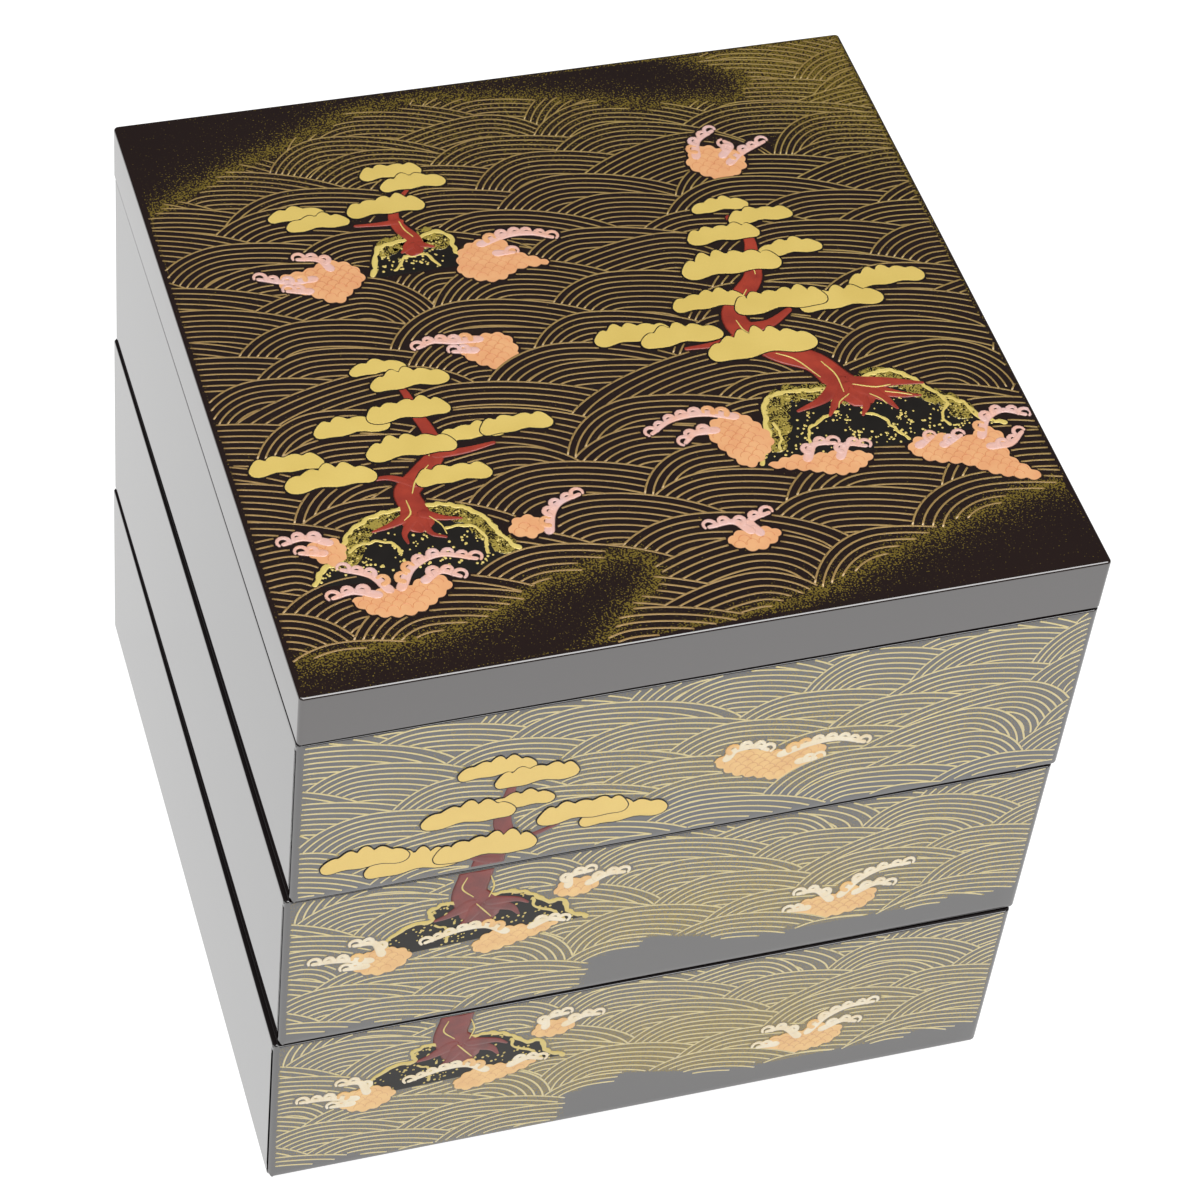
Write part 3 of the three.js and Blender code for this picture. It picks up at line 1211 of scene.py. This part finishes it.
def draw_arm(drawing, points, foot):
    """Foam that reaches along a few (u, v) points, with bumps on its upper side."""
    widths = np.linspace(ARM_WIDTH, TIP_WIDTH, len(points))
    arm = smooth_path([(*point, width) for point, width in zip(points, widths)], CREST_STEP)
    clear_stroke(drawing, "crest_foam", arm, FOAM_LEVEL, foot)
    step = np.gradient(arm[:, :2], axis=0)
    ahead = step / np.hypot(*step.T)[:, None]
    lean = math.copysign(1, points[-1][0] - points[0][0])
    out = np.stack((-ahead[:, 1], ahead[:, 0]), axis=1) * lean
    bumps = max(round(np.hypot(*step.T).sum() / BUMP_SPACING), 1)
    for share in np.arange(1, bumps + 1) / bumps:
        at = round(share * (len(arm) - 1))
        radius = BUMP_RADIUS * (BUMP_START - BUMP_TAPER * share)
        reach = TIP_REACH if share == 1 else BUMP_REACH
        bump = curl(arm[at, :2] + out[at] * radius * BUMP_LIFT, ahead[at], out[at], radius, reach)
        part = "crest_curls" if share < PEACH_SHARE else "crest_foam"
        clear_stroke(drawing, part, bump, FOAM_LEVEL, foot)


# %% A crest
SCALE_RADIUS = 1.5
SCALE_LINE = 0.2
SCALE_FILL = 0.92
SCALE_ARC = (190, -10)
SCALE_POINTS = 9


def draw_crest(drawing, body, arms):
    """A crest with a body through (u, v) points and an arm through each list of them."""
    outline = lobed(np.array(body, dtype=float))
    low, high = outline.min(axis=0), outline.max(axis=0)
    water = low[1] + SUNK_SHARE * (high[1] - low[1])
    foot = drawing.settle([(low[0] + high[0]) / 2], water)
    outline = drawing.washed(outline, foot)
    drawing.panel.covers.append(Cover(outline, foot))
    drawing.island("crest_bodies", outline, CREST_LEVEL + drawing.hair())
    draw_scales(drawing, outline, foot)
    for arm in arms:
        draw_arm(drawing, arm, foot)


def draw_scales(drawing, outline, foot):
    """Thin scales of orange over the body of a crest."""
    body = Cover(outline, clearance=INSIDE_ONLY)
    angle = np.radians(np.linspace(*SCALE_ARC, SCALE_POINTS))
    for row, v in enumerate(np.arange(body.low[1], body.high[1], SCALE_RADIUS)):
        for u in np.arange(body.low[0] + row % 2 * SCALE_RADIUS, body.high[0], 2 * SCALE_RADIUS):
            ring_u = u + SCALE_FILL * SCALE_RADIUS * np.cos(angle)
            ring_v = v + SCALE_FILL * SCALE_RADIUS * np.sin(angle)
            if body.hides(ring_u, ring_v).all():
                line = np.stack((ring_u, ring_v, np.full(len(angle), SCALE_LINE)), axis=1)
                clear_stroke(drawing, "crest_lines", line, CREST_LINE_LEVEL, foot, hides=False)


def placed(crest, u, v, flip=1):
    """A crest's body and arms moved to a place, and turned to face the other way at -1."""
    body, arms = crest
    ring = [(u + flip * x, v + y) for x, y in body]
    return ring[::flip], [[(u + flip * x, v + y) for x, y in arm] for arm in arms]


# %% [markdown]
# ## The picture on the lid
# Three pines on three rocks stand in the sea, with crests breaking round them. Places are
# in millimetres from the middle of the lid, and widths give the size of pads and strokes.

# %% Pines, rocks and crests of the lid
LID_SEED = 7
LID_SEA = {"pitch": 37, "near": (11.5, 2.15), "far": (8.5, 1.65), "drop": 22}
LID_THREADS = {"fray": 1.5, "line_share": 0.28}


def draw_right_pine(drawing):
    draw_rock(
        drawing,
        ridge=[(25, -53), (28, -47), (31, -43), (32, -37), (34, -31), (39, -28), (47, -29), (56, -30),
               (61, -27), (67, -26), (72, -30), (77, -37), (81, -40), (84, -46), (89, -49)],
        water=-49,
        creases=[[(50, -37), (45, -39), (41, -42.5), (40, -47)],
                 [(56, -38.5), (60, -41), (62, -45), (64, -49)],
                 [(34, -38), (34, -42), (32.5, -46)],
                 [(77, -37), (77.5, -40), (75, -43), (75.5, -47)]])
    draw_pine(
        drawing,
        pads=[(45, 38.5, 15), (54, 33, 17), (42.5, 28, 19), (57.5, 20, 17), (41, 17, 26), (31.5, 5.5, 19),
              (78, 5, 20), (64, -0.5, 22), (49, 2, 24), (9.5, -2, 20), (21, -5, 21), (39.5, -12, 28)],
        limbs=[
            [(57, -32, 10), (54, -27, 8.5), (50.5, -20, 7.5), (43, -14, 8.5), (37, -6, 7.5), (36, 0, 6.5),
             (40, 6, 6), (45, 12, 5), (47, 19, 4), (48.5, 26, 3), (46, 34, 2)],
            [(38, -5, 4), (44, -4.5, 3), (50, -1, 1.8)], [(34, -8, 3.2), (28, -9, 2.2), (21, -9, 1.2)],
            [(54, -28, 5.5), (48, -32.5, 3), (41, -35, 1)], [(55, -30, 5), (51, -34, 2.6), (48, -38, 0.8)],
            [(57, -32, 5), (58, -36, 2.4), (56, -39.5, 0.8)], [(59, -31, 5), (63, -35, 2.8), (65, -39, 0.8)],
            [(58, -29, 6), (66, -30, 3.4), (74, -32, 0.9)], [(60, -31, 5), (67, -34.5, 2.6), (72, -36, 0.8)]],
        glints=[[(42, -15, 0.3), (46, -18, 0.5), (50, -25, 0.3)],
                [(52, -20, 0.3), (54, -25, 0.5), (54, -31, 0.3)],
                [(36, -2, 0.3), (37, -6, 0.5), (40, -9, 0.3)],
                [(57, -29, 0.3), (62, -31, 0.5), (66, -31, 0.3)],
                [(55, -32, 0.3), (52, -34, 0.4), (51, -36, 0.3)],
                [(60, -33, 0.3), (62, -35, 0.4), (63, -37, 0.3)],
                [(38, -10, 0.3), (41, -13, 0.4), (46, -15, 0.3)],
                [(37, 1, 0.3), (39, 4, 0.4), (42, 8, 0.3)],
                [(46, 13, 0.3), (46.5, 17, 0.4), (47.5, 21, 0.3)],
                [(64, -33, 0.3), (68, -34.5, 0.4), (70, -35.5, 0.3)]])


def draw_back_pine(drawing):
    draw_rock(
        drawing,
        ridge=[(-49, 30), (-46, 34), (-44, 40), (-39, 42), (-33, 42), (-28, 44), (-25, 41), (-25, 36),
               (-22, 31)],
        water=32,
        creases=[[(-41, 32), (-38, 36), (-33, 36), (-30, 32)]])
    draw_pine(
        drawing,
        pads=[(-33.5, 67, 16), (-29, 62, 17), (-60.5, 56, 14.5), (-56, 52, 16), (-38, 54.5, 20)],
        limbs=[
            [(-35, 39, 6), (-34, 42, 4.5), (-36, 46, 4), (-37, 50, 3.2), (-36, 54, 2.4)],
            [(-36, 49, 2.4), (-41, 49, 1.6), (-47, 49.5, 1)],
            [(-36, 55, 2), (-31, 60, 1)],
            [(-35, 40, 2.4), (-38, 38, 1)], [(-33, 40, 2.4), (-30, 38.5, 0.9)],
            [(-34, 39, 2), (-34, 37, 0.8)]],
        glints=[[(-34, 43, 0.3), (-35.5, 46, 0.45), (-36, 49, 0.3)]])


def draw_left_pine(drawing):
    draw_rock(
        drawing,
        ridge=[(-87, -67), (-83, -61), (-78, -59), (-76, -53), (-70, -48), (-61, -46), (-52, -46.5),
               (-46, -49), (-42, -54), (-40, -60), (-36, -65), (-31, -70)],
        water=-63,
        creases=[[(-76, -57), (-72, -55), (-66, -56), (-64, -60)],
                 [(-52, -54), (-46, -55), (-44, -59), (-45, -64)]])
    draw_pine(
        drawing,
        pads=[(-54.5, -0.5, 14), (-48, -6, 19.5), (-65.5, -18.5, 18.5), (-51, -16, 20.5), (-83.5, -27.5, 18),
              (-74.5, -34, 22), (-38, -26, 16), (-27, -25.5, 18), (-53.5, -28, 22), (-46, -38.5, 18.5)],
        limbs=[
            [(-58, -50, 9), (-58, -46, 7), (-58, -41, 6.5), (-53, -36, 6), (-48, -30, 4.5), (-48, -23, 3.6),
             (-49.5, -16, 3), (-50, -10, 2), (-52, -4, 1.4)],
            [(-48, -31, 3), (-41, -31, 2.2), (-34, -30, 1.2)],
            [(-56, -39, 3), (-61, -36, 1.8), (-66, -36, 1)],
            [(-60, -49, 3.4), (-65, -51, 1.8), (-69, -52, 0.8)],
            [(-59, -50, 3), (-62, -54, 1.6), (-62, -57, 0.8)],
            [(-57, -50, 3), (-56, -55, 1.6), (-53, -57, 0.8)],
            [(-56, -49, 3.4), (-52, -51, 1.8), (-48, -52, 0.8)]],
        glints=[[(-57, -42, 0.3), (-55, -38, 0.5), (-51, -34, 0.3)],
                [(-59, -44, 0.3), (-59, -48, 0.5), (-61, -50, 0.3)],
                [(-50, -31, 0.3), (-48.5, -27, 0.4), (-48.5, -24, 0.3)],
                [(-55, -50, 0.3), (-53, -53, 0.4), (-52.5, -56, 0.3)]])


# %% Crests of the lid, each as a body and its arms
LID_CRESTS = (
    ([(-70, 31), (-69, 35), (-63, 36), (-57, 38), (-52, 36), (-50, 31), (-54, 27), (-58, 24), (-64, 28)],
     [[(-57, 36), (-59, 39.5), (-64, 40.5)], [(-62, 33), (-68, 33), (-75, 35.5)], [(-64, 29), (-69, 30)]]),
    ([(-26, 28), (-24, 35), (-19, 38), (-13, 37), (-10, 32), (-4, 27.5), (-11, 27), (-17, 24), (-22, 25)],
     [[(-18, 37), (-11, 39), (-5, 38.5), (0, 36)], [(-15, 33), (-11, 32.5)]]),
    ([(-33, 0), (-32, 4), (-26, 5.5), (-21, 4), (-20, -3), (-23, -7), (-29, -4)],
     [[(-28, 4.5), (-34, 5), (-39, 6), (-43, 4.5)], [(-30, 1), (-35, 1.5)]]),
    ([(42, 55), (44, 59), (48, 61), (52, 59), (56, 57), (56, 52), (50, 48.5), (45, 51)],
     [[(45, 58), (47, 63.5), (52, 66.5)], [(52, 57), (55, 60), (54, 62)], [(53, 54), (57, 57), (64, 60)]]),
    ([(17, -38), (20, -34), (26, -33), (30, -38), (31, -44), (24, -50), (20, -45)],
     [[(25, -33.5), (18, -31), (10, -31.5), (4, -35)], [(19, -37), (14, -37), (11, -39.5)]]),
    ([(63, -53), (66, -50), (73, -50), (78, -52), (84, -50), (87, -54), (86, -60), (91, -68),
      (82, -65), (75, -60), (67, -57)],
     [[(82, -52), (85, -47), (90, -45), (95, -47.5)], [(83, -56), (88, -56), (92, -53)],
      [(72, -53), (77, -51)], [(66, -52), (70, -50)]]),
    ([(28, -51), (34, -49.5), (41, -50), (48, -50.5), (53, -53), (46, -57), (37, -54)],
     [[(38, -50.5), (41, -46.5), (46, -47)], [(46, -51.5), (49, -48), (53, -49.5)]]),
    ([(-85, -54), (-82, -52), (-78, -53), (-77, -57), (-80, -60), (-84, -57)],
     [[(-80, -53), (-85, -50.5), (-90, -51.5)], [(-82, -56), (-87, -55)]]),
    ([(-79, -72), (-73, -70), (-67, -71), (-60, -68), (-56, -71), (-60, -75), (-66, -78), (-74, -77)],
     [[(-67, -70), (-63, -64.5), (-56, -62), (-48, -65)], [(-70, -70), (-73, -65), (-79, -62)],
      [(-73, -71), (-78, -69), (-83, -70)], [(-61, -69), (-57, -67), (-53, -69.5)]]),
    ([(-38, -59), (-36, -55.5), (-32, -55), (-30, -58), (-33, -61)],
     [[(-29, -60), (-27, -55), (-24, -52), (-19, -50.5)]]),
    ([(11, -73), (13, -70.5), (18, -70), (22, -70.5), (23, -73), (17, -76)],
     [[(17, -70), (14, -66.5), (8, -67)], [(19, -71), (18, -67), (23, -65.5)]]),
)


# %% Draw the lid
def draw_waves(drawing, fray, line_share):
    """The sea's visible lines as gold threads, each as wide as a share of its swell's gap."""
    runs = visible_runs(drawing.panel, drawing.rng, fray)
    paths = [np.column_stack((points, np.full(len(points), gap * line_share))) for points, gap in runs]
    drawing.join("wave_lines", swept(paths, thread_section))
    length = sum(np.hypot(*np.diff(points, axis=0).T).sum() for points, gap in runs)
    print(f"{drawing.panel.name}: {len(runs)} lines, {length * MM:.1f} m of gold thread")


lid_drawing = Drawing(lid_panel(), np.random.default_rng(LID_SEED))
fill_with_swells(lid_drawing.panel, lid_drawing.rng, **LID_SEA)
draw_back_pine(lid_drawing)
draw_right_pine(lid_drawing)
draw_left_pine(lid_drawing)
for crest in LID_CRESTS:
    draw_crest(lid_drawing, *crest)
lid_drawing.finish_strokes()
draw_waves(lid_drawing, **LID_THREADS)

# %% [markdown]
# ## The pictures on the tiers
# The three fronts are one picture. The top tier carries the head of a pine whose trunk runs
# on over the joint, and the middle tier its foot, its rock and the cloud below. The bottom
# tier repeats the middle one. The back has a plainer sea with one crest on each tier, and
# the left and right sides are bare lacquer.

# %% The sides
SIDE_SEED = 20
SIDE_SEA = {"pitch": 34, "near": (9, 1.9), "far": (9, 1.8), "drop": 19.5}
SIDE_THREADS = {"fray": 1.6, "line_share": 0.31}
LONG_CREST = (
    [(-19, 3), (-15, 6), (-9, 5), (-2, 3), (6, 4), (9, 0), (7, -5), (1, -8), (-7, -5), (-14, -2)],
    [[(-16, 4), (-14, 6.5), (-9, 6.5), (-6, 4.5)], [(-2, 2), (5, 4), (12, 4), (19, 1)], [(3, -2), (8, -2)]])
SPRAY_CREST = (
    [(-13, -3), (-9, 0), (-3, 0), (3, 2), (9, -1), (7, -6), (-1, -8), (-9, -7)],
    [[(-3, -1), (-7, 3.5), (-12, 3.5)], [(-9, -3), (-14, -3)], [(0, 0), (4, 5), (10, 8), (17, 8)],
     [(4, 0), (9, 2), (13, 0.5)]])
SIDE_TOP_CRESTS = {
    0: [placed(LONG_CREST, 24, 22)],
    2: [placed(LONG_CREST, 30, 26, -1)],
}
SIDE_FOOT_CRESTS = {
    0: [placed(SPRAY_CREST, 47, 20),
        ([(-80, 28), (-76, 32), (-70, 32), (-66, 29), (-68, 25), (-73, 23), (-78, 25)],
         [[(-73, 31), (-75, 35.5), (-80, 36)], [(-76, 29), (-83, 31), (-90, 31.5)], [(-77, 27), (-82, 27)]]),
        ([(-50, 27), (-46, 31), (-40, 32), (-34, 31), (-29, 31), (-32, 28.5), (-40, 25.5), (-47, 24)],
         [[(-42, 31), (-47, 34.5), (-54, 34.5), (-62, 32)], [(-35, 31), (-31, 32.5), (-27, 31)]]),
        ([(-30, 42), (-29, 45.5), (-24.5, 46.5), (-19.5, 45.5), (-20.5, 42), (-25, 40.5)],
         [[(-27, 45), (-26.5, 48.5), (-21.5, 49)], [(-21.5, 44.5), (-17, 46.5), (-13, 46)]])],
    2: [placed(SPRAY_CREST, -46, 26, -1)],
}


def draw_pine_head(drawing):
    draw_pine(
        drawing,
        pads=[(-49.5, 37, 19), (-39.5, 32, 20.5), (-43, 23.5, 17), (-55.5, 21.5, 23), (-16.5, 12, 22),
              (-27, 15.5, 22.5), (-68, 7, 24), (-80, 11.5, 21.5), (-50.5, 8, 25.5)],
        limbs=[[(-45, 32, 2), (-46, 26, 3), (-47, 18, 4.6), (-46, 11, 5), (-49, 4, 8), (-50, -4, 9)],
               [(-45, 9, 2.6), (-39, 10, 1.8), (-33, 12.5, 1)], [(-48, 3, 4), (-53, 5, 2), (-55, 7, 1)]])


def draw_pine_foot(drawing):
    draw_rock(
        drawing,
        ridge=[(-71, 29), (-72, 35), (-66, 40), (-61, 40), (-61, 45), (-52, 46), (-42, 46.5), (-36, 44),
               (-32, 40), (-28, 39), (-26, 34), (-21, 31)],
        water=29,
        mossy=False,
        creases=[[(-60, 38), (-57, 36), (-57, 31)], [(-36, 42), (-34, 38), (-30, 35), (-27, 31)]])
    draw_pine(
        drawing,
        pads=(),
        limbs=[[(-50, 62, 9), (-51, 55, 9), (-52, 48, 9.5), (-49, 42, 12)],
               [(-52, 44, 5), (-57, 41, 2.4), (-60, 40, 1)], [(-50, 42, 5), (-52, 38, 2.2), (-54, 36, 0.8)],
               [(-48, 42, 4), (-47, 38, 2), (-46, 35, 0.8)], [(-46, 43, 5), (-41, 40, 2.4), (-39, 37, 0.8)],
               [(-46, 44, 4), (-40, 43, 2), (-37, 41, 0.8)]],
        glints=[[(-53, 55, 0.3), (-54, 51, 0.5), (-51, 47, 0.3)],
                [(-47, 54, 0.3), (-46, 50, 0.5), (-47, 46, 0.3)],
                [(-50, 44, 0.3), (-48, 41, 0.5), (-46, 38, 0.3)]])


def draw_side(tier, quarter):
    """The picture on one side. The lower two tiers share theirs, so only one is drawn."""
    on_top = tier == "top_tier"
    clouds = () if on_top else SIDE_CLOUDS
    rng = np.random.default_rng(SIDE_SEED + quarter + len(SIDE_TURNS) * on_top)
    drawing = Drawing(side_panel(tier, quarter, clouds), rng)
    fill_with_swells(drawing.panel, drawing.rng, **SIDE_SEA)
    if quarter == 0:
        if on_top:
            draw_pine_head(drawing)
        else:
            draw_pine_foot(drawing)
    for crest in (SIDE_TOP_CRESTS if on_top else SIDE_FOOT_CRESTS)[quarter]:
        draw_crest(drawing, *crest)
    drawing.finish_strokes()
    draw_waves(drawing, **SIDE_THREADS)
    return drawing


top_drawings = [draw_side("top_tier", quarter) for quarter in PICTURED]
foot_drawings = [draw_side("middle_tier", quarter) for quarter in PICTURED]

# %% [markdown]
# ## Gold dust
# Gold powder was sprinkled on the wet lacquer round the clouds and over the far water. The
# body's flat faces are cut into a grid, and each point of it carries how dense the powder
# lies there. The lacquer's finish reads that as an attribute and breaks it into grains.

# %% How dense the dust lies
DUST_INTO_CLOUD = 5.5
DUST_OUT_OF_CLOUD = 2.5
CLOUD_EDGE_DUST = 0.72
STRAY_DUST = 0.17
FAR_CORNER_DUST = 0.85
FAR_CORNER_WAY = (0.62, 0.78)
FAR_CORNER_RISE = (62, 120)
FAR_WATER_DUST = 0.52
FAR_WATER_RISE = (25, 80)
LEAST_SIDE_SHARE = 0.55
SIDE_DUST_MIDDLE = (15, 24)
SIDE_DUST_SPREAD = (70, 24)


def cloud_dust(distance):
    """Thickest at the edge of a cloud, thinning out fast over the sea and slower inside."""
    fade = np.where(distance < 0, DUST_INTO_CLOUD, DUST_OUT_OF_CLOUD)
    return CLOUD_EDGE_DUST * np.exp(-np.abs(distance) / fade) + STRAY_DUST


def ramp(value, start, end):
    """A smooth rise from 0 at the start to 1 at the end."""
    share = np.clip((value - start) / (end - start), 0, 1)
    return share * share * (3 - 2 * share)


def lid_dust(u, v):
    """Dust round the clouds, over the water at the back, and thick over the back right corner."""
    distance = lid_drawing.panel.cloud_distance(u, v)
    to_corner = FAR_CORNER_WAY[0] * u + FAR_CORNER_WAY[1] * v
    far_corner = FAR_CORNER_DUST * ramp(to_corner, *FAR_CORNER_RISE)
    far_water = FAR_WATER_DUST * ramp(v - 0.1 * abs(u + 20), *FAR_WATER_RISE)
    return np.maximum(cloud_dust(distance), np.maximum(far_corner, far_water) * (distance > 0))


def side_dust(u, v, density):
    """Dust over all the water of a side, thickest a little right of its middle."""
    panel = foot_drawings[0].panel
    (middle_u, middle_v), (spread_u, spread_v) = SIDE_DUST_MIDDLE, SIDE_DUST_SPREAD
    middle = np.exp(-((u - middle_u) / spread_u) ** 2 - ((v - middle_v) / spread_v) ** 2)
    share = LEAST_SIDE_SHARE + (1 - LEAST_SIDE_SHARE) * middle
    return density * share * (panel.cloud_distance(u, v) > 0)


# %% A grid that carries the dust
FACES_SAME_WAY = 0.99


def carry_dust(bm, facing, cuts, dust_at):
    """Cuts the plain square of a side into a grid and writes the dust on its points."""
    layer = bm.verts.layers.float.get("dust") or bm.verts.layers.float.new("dust")
    side = max((f for f in bm.faces if f.normal.dot(facing) > FACES_SAME_WAY),
               key=lambda f: f.calc_center_median().dot(facing) * f.calc_area())
    depth = side.verts[0].co.dot(facing)
    bmesh.ops.subdivide_edges(bm, edges=side.edges[:], cuts=cuts, use_grid_fill=True)
    for vert in bm.verts:
        if abs(vert.co.dot(facing) - depth) < TOUCH:
            vert[layer] = float(dust_at(vert.co))


def finish_body(bm, name, finish, node):
    """Turns a body's bmesh into the piece that stands for a CAD node."""
    bmesh.ops.recalc_face_normals(bm, faces=bm.faces)
    mesh = bpy.data.meshes.new(name)
    bm.to_mesh(mesh)
    bm.free()
    mesh.transform(seat_of(node))
    mesh.shade_smooth()
    piece = show(name, mesh, finish)
    normals = piece.modifiers.new("even_normals", "WEIGHTED_NORMAL")
    normals.weight = 100
    normals.keep_sharp = True
    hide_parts(node)
    print(f"{name}: {len(mesh.polygons)} faces")


# %% Make the lid and the tiers
LID_GRID = 76
SIDE_GRID = 40
# The sides of the lower tiers get denser dust: the bottom tier the most, the top tier the least.
TIER_DUST = {"bottom_tier": 0.95, "middle_tier": 0.85, "top_tier": 0.7}



def side_dust_on(tier, quarter):
    """The dust of one side, as a function of a place in the tier's own frame."""
    to_front = SIDE_TURNS[quarter].transposed()

    def dust_at(co):
        flat = to_front @ co
        return side_dust(np.float64(flat.x), np.float64(flat.z), TIER_DUST[tier])
    return dust_at


lid = lid_block()
carry_dust(lid, Vector((0, 0, 1)), LID_GRID, lambda co: lid_dust(np.float64(co.x), np.float64(co.y)))
finish_body(lid, "lid_body", "lid_lacquer", "lid")

for tier in TIERS:
    block = tier_block()
    for quarter in PICTURED:
        carry_dust(block, SIDE_FACINGS[quarter], SIDE_GRID, side_dust_on(tier, quarter))
    finish_body(block, f"{tier}_body", "tier_lacquer", tier)

# %% [markdown]
# ## Laying the picture on the box
# Each drawing is carried from its panel to the box, and the drawings on one tier are joined
# part by part: all its wave lines are one piece, all its crests another.


# %% Lay the drawings
def lay_picture(owner, laid):
    """Joins the drawings on a tier or the lid, given with their places, part by part."""
    gathered = {}
    for drawing, place in laid:
        for part, bm in drawing.meshes.items():
            sheet = bpy.data.meshes.new("sheet")
            bm.to_mesh(sheet)
            sheet.transform(place)
            gathered.setdefault(part, bmesh.new()).from_mesh(sheet)
            bpy.data.meshes.remove(sheet)
    for part, bm in gathered.items():
        bmesh.ops.recalc_face_normals(bm, faces=bm.faces)
        finish, slot = PICTURE_PARTS[part]
        if owner == "lid":
            slot = slot.replace("tier_lacquer", "lid_lacquer")
        # On the tiers the side copies of the finishes are used, with their painted light and shade.
        elif f"side_{finish}" in FINISHES:
            finish = f"side_{finish}"
        mesh = bpy.data.meshes.new(f"{owner}_{part}")
        bm.to_mesh(mesh)
        bm.free()
        show(f"{owner}_{part}", mesh, finish)
        print(f"{owner}_{part}: {sum(len(p.vertices) - 2 for p in mesh.polygons)} triangles")


lay_picture("lid", [(lid_drawing, lid_drawing.panel.place)])
for tier in TIERS:
    drawings = top_drawings if tier == "top_tier" else foot_drawings
    places = [side_panel(tier, quarter, ()).place for quarter in PICTURED]
    lay_picture(tier, list(zip(drawings, places)))

# %% [markdown]
# ## Floor and light
# Polished lacquer shows its surroundings more than itself. The pale floor is what the
# upright sides mirror towards the camera, so it glows softly and turns them grey. The lid
# mirrors what is behind and above, which stays dim, so it looks nearly black.

# %% Floor
FLOOR_SIDE = 16.0
FLOOR_GLOW = 0.96
PAPER_LIGHT = tint(146, 146, 146)
PAPER_DEEP = tint(142, 142, 142)
PAPER_CLOUD_SIZE = 60


def add_floor():
    bm = bmesh.new()
    bmesh.ops.create_grid(bm, x_segments=1, y_segments=1, size=FLOOR_SIDE / 2)
    mesh = bpy.data.meshes.new("floor")
    bm.to_mesh(mesh)
    bm.free()
    floor = bpy.data.objects.new("floor", mesh)
    bpy.context.collection.objects.link(floor)
    paper = Finish("floor_paper", Roughness=0.9, Emission_Color=(1, 1, 1, 1), Emission_Strength=FLOOR_GLOW)
    paper.set("Base Color", paper.mix(paper.noise(PAPER_CLOUD_SIZE, 2), PAPER_LIGHT, PAPER_DEEP))
    mesh.materials.append(paper.material)


add_floor()


# %% Lights
BOX_MIDDLE = Vector((0, 0, 0.1))
SOFTBOX_DISTANCE = 1.6
WORLD_LIGHT = 0.06


def add_softbox(name, azimuth, elevation, size, watts):
    """A square softbox that looks at the box from a bearing. Azimuth 0 is in front of it."""
    turn, rise = math.radians(azimuth), math.radians(elevation)
    out = Vector((math.sin(turn) * math.cos(rise), -math.cos(turn) * math.cos(rise), math.sin(rise)))
    data = bpy.data.lights.new(name, "AREA")
    data.shape = "SQUARE"
    data.size = size
    data.energy = watts
    light = bpy.data.objects.new(name, data)
    bpy.context.collection.objects.link(light)
    light.location = BOX_MIDDLE + out * SOFTBOX_DISTANCE
    light.rotation_euler = out.to_track_quat("Z", "Y").to_euler()


add_softbox("top_softbox", azimuth=15, elevation=72, size=1.5, watts=29)
add_softbox("left_softbox", azimuth=-75, elevation=60, size=1.3, watts=6)

world = bpy.data.worlds.new("studio")
world.use_nodes = True
world.node_tree.nodes["Background"].inputs["Color"].default_value = (1, 1, 1, 1)
world.node_tree.nodes["Background"].inputs["Strength"].default_value = WORLD_LIGHT
bpy.context.scene.world = world
bpy.context.scene.view_settings.view_transform = "Standard"
